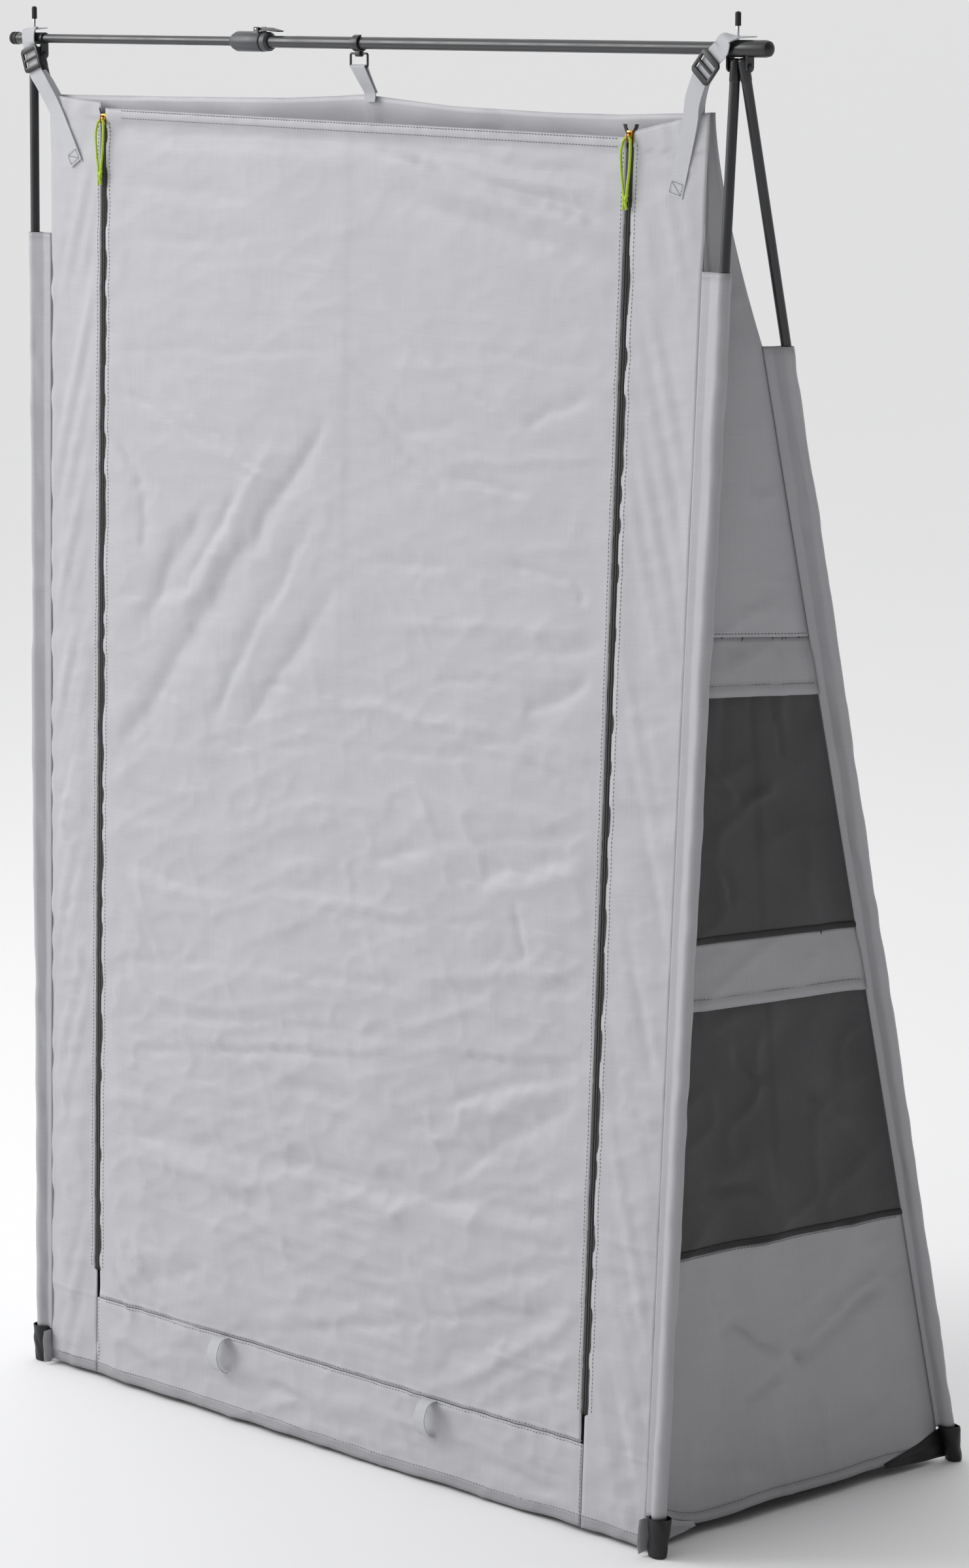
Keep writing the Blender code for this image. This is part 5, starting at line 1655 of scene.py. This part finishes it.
@dataclass
class RearWall:
    """The rear wall, one sheet with a seam up its middle, held up by the centre strap."""

    layout: Layout
    foot_z: float = 0.016
    peak_inset: float = 0.022
    seam: float = 0.006

    def __post_init__(self) -> None:
        """Draws the seeded patterns."""
        self.noise = [Wander(seed) for seed in range(71, 76)]

    def top_z(self, x: Array) -> Array:
        """The upper edge at x: up at the middle strap and the corners, lower between."""
        knots = np.array([-0.609, -0.38, -0.148, -0.05, -0.013, 0.02, 0.154, 0.334, 0.450, 0.611])
        tops = np.array([1.8225, 1.8235, 1.826, 1.8305, 1.833, 1.8305, 1.821, 1.8165, 1.8165, 1.8225])
        return np.interp(x, knots, tops)

    def point(self, across: Array, z: Array, stand_off: float | Array = 0.0) -> Array:
        """Finds points of the wall.

        Args:
            across: From 0 at the left seam to 1 at the right one.
            z: Heights.
            stand_off: How far the points stand behind the cloth.

        Returns:
            One row for each point.
        """
        layout = self.layout
        capped = np.minimum(z, layout.corner_z)
        left, right = layout.rear_seam(-1, capped), layout.rear_seam(1, capped)
        points = left + (right - left) * across[..., None]
        rise = layout.rise(z)
        sleeved = layout.sleeved_rear_seam(1, np.full_like(z, layout.rear_sleeve_top))[..., 1]
        middle = mix(sleeved, layout.apex_y + self.peak_inset, rise)
        points[..., 1] += np.where(rise > 0, (middle - left[..., 1]) * (1 - (2 * across - 1) ** 2), 0)
        points[..., 2] = z
        x = points[..., 0]
        held = smooth_step(0, 0.03, across) * smooth_step(1, 0.97, across)
        low = smooth_step(1.5, 0.4, z)
        seam = 1 - 0.7 * np.exp(-((x - layout.centre_x) / 0.012) ** 2)
        waves = (
            5.0 * MM * self.noise[0].at(x * 4.5 + 3, z * 2.2)
            + 1.6 * MM * (0.3 + low) * self.noise[1].at(x * 7 + z, z * 20)
            + 1.2 * MM * self.noise[2].at(x * 22 + z * 8, z * 18)
            + 2.6 * MM * smooth_step(1.66, 1.80, z)
            * ((1 - np.abs(self.noise[3].at(x * 9 + 8 * z, z * 16))) ** 3 - 0.25)
            + 2.0 * MM * ((1 - np.abs(self.noise[1].at(x * 6 - z, z * 9 + 2 * x))) ** 3 - 0.25)
        )
        points[..., 1] += held * seam * waves + stand_off
        return points

    def build(self) -> bpy.types.Object:
        """Builds the wall and its stitching.

        Returns:
            The wall.
        """

        def spot(across: Array, up: Array) -> tuple[Array, Array]:
            share = 1 - across
            top = self.top_z(mix(-0.6035, 0.6115, share))
            foot = self.foot_z + 2.0 * MM * self.noise[4].at(share * 14, share * 0)
            return share, mix(foot, top, up)

        def tone(across: Array, up: Array) -> Array:
            share, z = spot(across, up)
            x = mix(-0.61, 0.61, share)
            seam = np.exp(-(((x - self.layout.centre_x) / 0.0035) ** 2))
            hem = np.exp(-(((z - self.foot_z - 0.018) / 0.0016) ** 2))
            return 1 - 0.12 * seam - 0.1 * hem

        grid = Grid(156, 236, 1.24, 1.88)
        wall = cloth("rear_wall", grid, lambda a, u: self.point(*spot(a, u)), 0.4 * MM, tone)
        dress(wall, Finish.REAR_TAFFETA.material(), Finish.REAR_TAFFETA.slot, "rear_frame_right", "rear_panel")
        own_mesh(wall)
        stitching = Stitching("rear_stitching")
        z = np.linspace(0.03, 1.82, 800)
        for off in (-0.0035, 0.0035):
            share = 0.5 + off + 0 * z
            stitching.run(self.point(share, z, 0.3 * MM), (0, 1, 0))
        share = np.linspace(0.02, 0.98, 500)
        stitching.run(self.point(share, 0.034 + 0 * share, 0.3 * MM), (0, 1, 0))
        piece = dress(stitching.build(), Finish.THREAD.material(), Finish.THREAD.slot, "rear_frame_right")
        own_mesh(piece)
        return wall


@dataclass
class Sleeve:
    """A fabric channel round a leg, sewn to the cover along its tail."""

    layout: Layout
    side: Side
    row: str
    foot_z: float = 0.0500
    radius: float = 7.9 * MM
    half_tail: float = 1.3 * MM
    around: int = 44

    def centre(self, z: Array) -> Array:
        """The leg's axis."""
        sign = self.side.value
        if self.row == "front":
            return joined(self.layout.leg_x(sign, z), self.layout.front_y(z), z)
        return joined(self.layout.leg_x(sign, z) + self.layout.rear_shift, self.layout.rear_y(z), z)

    def seam(self, z: Array) -> Array:
        """The seam that the sleeve's tail is sewn to."""
        find = self.layout.front_seam if self.row == "front" else self.layout.sleeved_rear_seam
        return find(self.side.value, z)

    def outline(self, reach: float) -> Array:
        """Draws the sleeve's section: round the leg, then in to a flat tail.

        Args:
            reach: From the leg's axis to the tail's end.

        Returns:
            Points along the tail and across it, starting at the tail's end.
        """
        start = max(0.55 * reach, self.radius + 3 * MM)
        apart = math.hypot(start, self.half_tail)
        first = math.atan2(self.half_tail, start) + math.acos(self.radius / apart)
        turns = np.linspace(first, 2 * math.pi - first, 25)
        ring = np.stack([self.radius * np.cos(turns), self.radius * np.sin(turns)], axis=1)
        tail = [(reach, self.half_tail), (start, self.half_tail)]
        back = [(start, -self.half_tail), (reach, -self.half_tail), (reach, self.half_tail)]
        loop = np.vstack([tail, ring, back])
        along = np.concatenate([[0], np.cumsum(np.linalg.norm(np.diff(loop, axis=0), axis=1))])
        at = np.linspace(0, along[-1], self.around + 1)
        return np.stack([np.interp(at, along, loop[:, k]) for k in (0, 1)], axis=1)

    def build(self) -> bpy.types.Object:
        """Builds the sleeve.

        Returns:
            The sleeve.
        """
        layout = self.layout
        top = layout.front_sleeve_top if self.row == "front" else layout.rear_sleeve_top
        seed = 90 + self.side.value + (5 if self.row == "front" else 0)
        puckers, slack = Wander(seed), Wander(seed + 50)
        rows = 240
        heights = np.linspace(self.foot_z, top, rows + 1)
        centres, seams = self.centre(heights), self.seam(heights)
        rings = []
        for z, centre, seam in zip(heights, centres, seams):
            towards = (seam - centre)[:2]
            reach = float(np.linalg.norm(towards))
            towards = towards / reach
            sideways = np.array([-towards[1], towards[0]])
            section = self.outline(reach - 0.3 * MM)
            outward = section / np.maximum(np.linalg.norm(section, axis=1, keepdims=True), 1e-6)
            position = np.linspace(0, 6, len(section))
            lumps = 1.0 * MM * puckers.at(position + z * 10, position * 0 + z * 34)
            lumps = lumps + 0.9 * MM * slack.at(position * 0.7, position * 0 + z * 9)
            free = smooth_step(reach, 0.4 * reach, section[:, 0])
            section = section + outward * (0.9 * MM + lumps)[:, None] * free[:, None]
            flat = centre[:2] + section[:, :1] * towards + section[:, 1:] * sideways
            rings.append(np.hstack([flat, np.full((len(flat), 1), z)]))
        rings = np.array(rings)
        around = self.around

        def shape(across: Array, up: Array) -> Array:
            column = np.round((1 - across) * around).astype(int) % around
            return rings[np.round(up * rows).astype(int), column]

        def tone(across: Array, up: Array) -> Array:
            return 1 - 0.16 * smooth_step(top - 0.013, top - 0.0115, mix(self.foot_z, top, up))

        girth = float(np.linalg.norm(np.diff(rings[rows // 2], axis=0), axis=1).sum())
        name = f"{self.row}_sleeve_{self.side.word}"
        grid = Grid(around, rows, girth, top - self.foot_z)
        sleeve = cloth(f"{name}_cloth", grid, shape, 0.5 * MM, tone, wraps=True)
        body = frame["nodes"][name]["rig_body"]
        dress(sleeve, Finish.SLEEVE_TAFFETA.material(), Finish.SLEEVE_TAFFETA.slot, body, name)
        return sleeve


@dataclass
class Boot:
    """The packcloth pocket that a leg stands in: a creased pouch with a flat floor."""

    layout: Layout
    side: Side
    row: str
    height: float = 0.052

    def build(self) -> bpy.types.Object:
        """Builds the boot.

        Returns:
            The boot.
        """
        sleeve = Sleeve(self.layout, self.side, self.row)
        crease = Wander(130 + self.side.value + (5 if self.row == "front" else 0))
        profile = smooth_route(
            [
                (0.0015, 0.0, 0.0), (0.0002, 0.5, 0.5), (0.0008, 0.93, 0.93), (0.006, 1.0, 1.0),
                (0.026, 1.10, 1.12), (0.048, 1.22, 1.24), (self.height, 1.20, 1.22),
            ],
            0.02,
        )
        rows, around = 60, 40
        heights, half_x, half_y = (
            np.interp(np.linspace(0, 1, rows + 1), np.linspace(0, 1, len(profile)), profile[:, k]) for k in range(3)
        )

        def shape(across: Array, up: Array) -> Array:
            index = np.round(up * rows).astype(int)
            turn = 2 * math.pi * (np.round(across * around) % around) / around
            z = np.clip(heights[index], 0, self.height)
            middle = sleeve.centre(z)
            lumps = 1 + 0.10 * crease.at(np.cos(turn) * 2.2 + z * 60, np.sin(turn) * 2.2 + z * 40)
            x = middle[:, 0] + 13.2 * MM * half_x[index] * lumps * np.cos(turn)
            y = middle[:, 1] + 10.6 * MM * half_y[index] * lumps * np.sin(turn)
            return joined(x, y, z)

        name = f"{self.row}_boot_{self.side.word}"
        boot = cloth(f"{name}_cloth", Grid(around, rows, 0.08, 0.07), shape, 0.0, wraps=True)
        apply_modifier(boot, "SOLIDIFY", thickness=1.0 * MM, offset=-1)
        shade_smooth(boot, 60)
        return dress(boot, Finish.PACKCLOTH.material(), Finish.PACKCLOTH.slot, frame["nodes"][name]["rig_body"], name)


# ---- Straps and hardware ------------------------------------------------------------------------------
@dataclass
class CornerStrap:
    """A strap from its spike over the rail, through a ladder-lock buckle, to the cover's face."""

    layout: Layout
    side: Side
    tail: tuple[float, float, float]
    over: tuple[float, float, float]
    buckle_top: tuple[float, float, float]
    buckle_foot: tuple[float, float, float]
    below: tuple[tuple[float, float, float], ...]

    def stations(self) -> list[Station]:
        """Lists the places that the strap passes.

        Returns:
            The stations from its tail down.
        """
        layout, sign = self.layout, self.side.value
        rail = layout.rail_height
        corner = np.array([layout.leg_x(sign, rail), layout.apex_y, rail])
        spike = corner + np.array([3 * MM, 0, 13.4 * MM])
        stand = np.array([0, -15 * MM, 0])
        upper, lower = corner + stand + np.array(self.buckle_top), corner + stand + np.array(self.buckle_foot)
        centre, along = (upper + lower) / 2, (lower - upper) / np.linalg.norm(lower - upper)
        places = [
            (spike + np.array(self.tail), (0, 0, 1)),
            (spike, (0, -0.1, 1)),
            (spike + np.array(self.over), (0, -0.7, 0.7)),
            (upper + (spike - upper) * 0.45 + np.array([0, -5.5 * MM, -0.5 * MM]), FRONT),
        ]
        for reach, depth in (
            (-19.8, 2.7), (-9.1, 2.9), (-2.4, 3.1), (2.4, 3.1), (9.1, 2.9), (19.8, 2.7),
        ):
            places.append((centre + along * reach * MM + np.array([0, depth * MM, 0]), FRONT))
        for x, drop, stand_off in self.below:
            z = rail - drop
            places.append((np.array([corner[0] + x, layout.front_y(z) - stand_off, z]), FRONT))
        return [Station(tuple(point), faces) for point, faces in places]

    def build(self) -> None:
        """Builds the strap, its box stitches and its buckle."""
        word = self.side.word
        stations = self.stations()
        body = f"{word}_frame"
        piece = strap(f"corner_webbing_{word}", stations)
        dress(piece, Finish.WEBBING.material(), Finish.WEBBING.slot, body, f"corner_strap_{word}")
        finished_copy(f"buckle_{word}", Finish.NYLON.material(), Finish.NYLON.slot, 0.8 * MM)
        turned = [
            Station((s.point[0] + 12.6 * MM, s.point[1] + 4.6 * MM, s.point[2] + 3 * MM), (0.98, -0.2, 0), width)
            for s, width in zip(stations[-4:], (0.006, 0.010, 0.010, 0.010))
        ]
        edge = strap(f"corner_webbing_edge_{word}", turned, 1.2 * MM)
        dress(edge, Finish.WEBBING.material(), Finish.WEBBING.slot, body)
        end, before = np.array(stations[-1].point), np.array(stations[-2].point)
        along = (end - before) / np.linalg.norm(end - before)
        sideways = np.cross(along, FRONT)
        sideways /= np.linalg.norm(sideways)
        stitching = Stitching(f"box_stitches_{word}", pitch=3.2 * MM, length=2.6 * MM, thickness=1.0 * MM)
        front = np.array([0, -1.2 * MM, 0])
        corners = [
            end - along * drop * MM + sideways * out * MM + front
            for drop, out in ((3, -9.5), (3, 9.5), (17, 9.5), (17, -9.5), (3, -9.5), (17, 9.5))
        ]
        for first, second in zip(corners, corners[1:]):
            stitching.run(np.array([first, second]), FRONT)
        dress(stitching.build(), Finish.THREAD.material(), Finish.THREAD.slot, body)


@dataclass
class Hanger:
    """The clip on the rail, its ring and the strap up from the rear wall's middle."""

    layout: Layout
    width: float = 0.0264

    def build(self) -> None:
        """Builds the hanger."""
        layout = self.layout
        x = layout.centre_x + 2 * MM
        eye_z = layout.rail_height - (11.0 + 1.5 + 1.0) * MM
        bar_z = eye_z - 17.5 * MM
        foot_y, foot_z = layout.apex_y + 0.022, 1.833 + 2.4 * MM
        half_y, half_z = (foot_y + layout.apex_y) / 2, (foot_z + bar_z) / 2
        wrap = 2.75 * MM
        stations = [
            Station((x, foot_y - 3.0 * MM, foot_z - 0.012), FRONT, self.width * 0.74),
            Station((x, foot_y - 3.0 * MM, foot_z), FRONT, self.width * 0.78),
            Station((x, half_y - 2.8 * MM, half_z), FRONT, self.width * 0.91),
        ]
        for i in range(7):
            turn = math.pi * i / 6
            stations.append(
                Station(
                    (x, layout.apex_y - wrap * math.cos(turn), bar_z + wrap * math.sin(turn)),
                    (0, -math.cos(turn), math.sin(turn)), self.width,
                )
            )
        stations.append(Station((x, half_y + 1.2 * MM, half_z), (0, 1, 0), self.width * 0.91))
        stations.append(Station((x, foot_y + 1.0 * MM, foot_z), (0, 1, 0), self.width * 0.78))
        piece = strap("hanger_webbing", stations)
        dress(piece, Finish.WEBBING.material(), Finish.WEBBING.slot, "hanger", "centre_strap")
        finished_copy("rail_clip", Finish.NYLON.material(), Finish.NYLON.slot, 0.5 * MM)
        finished_copy("strap_ring", Finish.NYLON.material(), Finish.NYLON.slot)


@dataclass
class DoorTie:
    """A loop of webbing on the sill's seam that holds the door when it is rolled down."""

    relief: FrontRelief
    side: Side
    x: float
    length: float = 0.055
    width: float = 0.020

    def build(self) -> bpy.types.Object:
        """Builds the loop.

        Returns:
            The loop.
        """
        layout = self.relief.layout
        top = layout.door_seam_z - 2 * MM
        stations = []
        for share, out, lean in (
            (0, 0, 0.9), (0.0, 10, 0.9), (0.10, 18, 0.5), (0.38, 23, 0), (0.66, 19, -0.5), (0.84, 10, -0.8),
            (0.9, 1, -0.9),
        ):
            z = top - self.length * share
            y = layout.front_y(z) - 2.4 * MM - out * MM
            stations.append(Station((layout.centre_x + self.x, y, z), (0, -1 + abs(lean) * 0.6, lean), self.width))
        piece = strap(f"tie_{self.side.word}", stations, 1.2 * MM)
        dress(piece, Finish.WEBBING.material(), Finish.WEBBING.slot, "right_frame", f"door_tie_{self.side.word}")
        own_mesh(piece)
        return piece


class Hardware:
    """The tubes, fittings, collar, lever, spikes and pins, as finished copies of the CAD pieces."""

    ROUNDED = {
        "apex_fitting": (Finish.NYLON, 0.4 * MM),
        "spike_tip": (Finish.RUBBER, 0.3 * MM),
        "spike": (Finish.ZINC, 0.2 * MM),
        "pivot_pin": (Finish.OXIDE, 0.2 * MM),
        "front_leg": (Finish.PAINT, 0.0),
        "rear_leg": (Finish.PAINT, 0.0),
    }
    SINGLE = {
        "outer_rail": (Finish.PAINT, 0.0),
        "inner_rail": (Finish.PAINT, 0.0),
        "rail_end_cap": (Finish.RUBBER, 0.2 * MM),
        "rail_collar": (Finish.ACETAL, 0.3 * MM),
        "cam_lever": (Finish.NYLON, 0.4 * MM),
        "lever_pin": (Finish.ZINC, 0.2 * MM),
    }

    def build_leg_caps(self, layout: Layout) -> None:
        """Caps the top of each leg round its pivot pin.

        Args:
            layout: Where the legs run.
        """
        bpy.ops.object.select_all(action="DESELECT")
        bpy.ops.mesh.primitive_cylinder_add(vertices=48, radius=7.0 * MM, depth=30 * MM)
        pattern = bpy.context.object
        apply_modifier(
            pattern, "BEVEL", width=3.0 * MM, segments=5, limit_method="ANGLE", angle_limit=math.radians(40)
        )
        merge_doubles(pattern)
        shade_smooth(pattern, 35)
        upright = coordinates(pattern)
        for side in Side:
            for row in ("front", "rear"):
                sleeve = Sleeve(layout, side, row)
                top, foot = (Vector(sleeve.centre(np.array([z]))[0]) for z in (layout.pin_z + 10.5 * MM, 1.0))
                turn = (top - foot).to_track_quat("Z", "Y").to_matrix()
                middle = top - (top - foot).normalized() * 15 * MM
                cap = bpy.data.objects.new(f"leg_cap_{row}_{side.word}", pattern.data.copy())
                bpy.context.scene.collection.objects.link(cap)
                place(cap, upright @ np.array(turn).T + np.array(middle))
                body = frame["nodes"][f"{row}_leg_{side.word}"]["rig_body"]
                dress(cap, Finish.NYLON.material(), Finish.NYLON.slot, body)
        bpy.data.objects.remove(pattern)

    def build(self) -> None:
        """Dresses every hard piece."""
        for stem, (finish, bevel) in self.ROUNDED.items():
            for side in Side:
                finished_copy(f"{stem}_{side.word}", finish.material(), finish.slot, bevel)
        for node, (finish, bevel) in self.SINGLE.items():
            finished_copy(node, finish.material(), finish.slot, bevel)


# ---- Stage --------------------------------------------------------------------------------------------
@dataclass(frozen=True)
class Studio:
    """A pale floor, a pale sky and soft light from the front left, so that the right side lies in shade."""

    key_power: float = 178.0
    camera_place: tuple[float, float, float] = (4.472, -4.467, 1.987)
    camera_tilt: tuple[float, float, float] = (80.162, 0.0, 45.0)
    lens: float = 107.06

    def build_camera(self) -> None:
        """Adds the camera."""
        data = bpy.data.cameras.new("camera")
        data.lens = self.lens
        camera = bpy.data.objects.new("camera", data)
        camera.location = self.camera_place
        camera.rotation_euler = [math.radians(a) for a in self.camera_tilt]
        bpy.context.scene.collection.objects.link(camera)
        bpy.context.scene.camera = camera

    def build_floor(self) -> None:
        """Lays a wide pale floor."""
        bpy.ops.object.select_all(action="DESELECT")
        bpy.ops.mesh.primitive_circle_add(vertices=96, radius=600, fill_type="NGON", location=(0, 0, -0.4 * MM))
        floor = bpy.context.object
        floor.name = "floor"
        material, tree, shader = start_material("matt_floor", "f4f4f5", 0.9)
        at = add_node(tree, "ShaderNodeTexCoord").outputs["Object"]
        noise = add_node(tree, "ShaderNodeTexNoise", inputs={"Vector": at, "Scale": 1.5, "Detail": 3.0})
        level = add_node(tree, "ShaderNodeMapRange", inputs={0: noise.outputs["Fac"], 3: 0.985, 4: 1.0})
        scaled = add_node(
            tree, "ShaderNodeVectorMath", {"operation": "SCALE"}, {0: linear("f4f4f5")[:3], "Scale": level.outputs[0]}
        )
        tree.links.new(scaled.outputs[0], shader.inputs["Base Color"])
        floor.data.materials.append(material)

    def build_sky(self) -> None:
        """Lights the scene from all round, brighter from the rear left than from the right."""
        world = bpy.data.worlds.new("pale_sky")
        bpy.context.scene.world = world
        world.use_nodes = True
        tree = world.node_tree
        at = add_node(tree, "ShaderNodeTexCoord").outputs["Generated"]
        towards = add_node(
            tree, "ShaderNodeVectorMath", {"operation": "DOT_PRODUCT"}, {0: at, 1: (-0.94, 0.12, 0.32)}
        )
        level = add_node(
            tree, "ShaderNodeMapRange",
            {"interpolation_type": "SMOOTHSTEP"},
            {0: towards.outputs["Value"], 1: -0.70, 2: 0.50, 3: 0.13, 4: 1.1},
        )
        sky = tree.nodes["Background"]
        sky.inputs["Color"].default_value = (1, 1, 1, 1)
        tree.links.new(level.outputs[0], sky.inputs["Strength"])

    def build_key(self) -> None:
        """Hangs a large soft light to the front left."""
        data = bpy.data.lights.new("key", "AREA")
        data.shape, data.size, data.size_y, data.energy = "RECTANGLE", 3.0, 3.0, self.key_power
        key = bpy.data.objects.new("key", data)
        key.location = (-4.2, -3.4, 3.6)
        key.rotation_euler = (Vector((0, 0, 0.95)) - key.location).to_track_quat("-Z", "Y").to_euler()
        bpy.context.scene.collection.objects.link(key)

    def build(self) -> None:
        """Sets the stage."""
        self.build_camera()
        self.build_floor()
        self.build_sky()
        self.build_key()
        bpy.context.scene.view_settings.view_transform = "Standard"


def main() -> None:
    """Builds the stage, the cords and then every piece of the tent."""
    logging.basicConfig(level=logging.INFO, format="%(message)s")
    layout = Layout()
    relief = FrontRelief(layout)
    Studio().build()
    for side in Side:
        Zip(layout, side).build()
    FrontWall(layout, relief).build()
    for side in Side:
        SideWall(layout, side).build()
    RearWall(layout).build()
    for side in Side:
        for row in ("front", "rear"):
            Sleeve(layout, side, row).build()
            Boot(layout, side, row).build()
    CornerStrap(
        layout, Side.RIGHT, (0.018, 0.010, 0.0006), (-0.0100, -0.0115, -0.0012), (-0.0245, 0, -0.0100),
        (-0.0470, 0, -0.0360), ((-0.060, 0.064, 0.0100), (-0.0695, 0.095, 0.0040), (-0.0908, 0.180, 0.0028)),
    ).build()
    CornerStrap(
        layout, Side.LEFT, (0.012, 0.012, 0.0006), (0.0010, -0.0110, -0.0012), (0.0070, 0, -0.0130),
        (0.0175, 0, -0.0430), ((0.031, 0.062, 0.0100), (0.055, 0.100, 0.0040), (0.0990, 0.171, 0.0028)),
    ).build()
    Hanger(layout).build()
    DoorTie(relief, Side.LEFT, -0.216).build()
    DoorTie(relief, Side.RIGHT, 0.197).build()
    hardware = Hardware()
    hardware.build()
    hardware.build_leg_caps(layout)


if __name__ == "__main__":
    main()
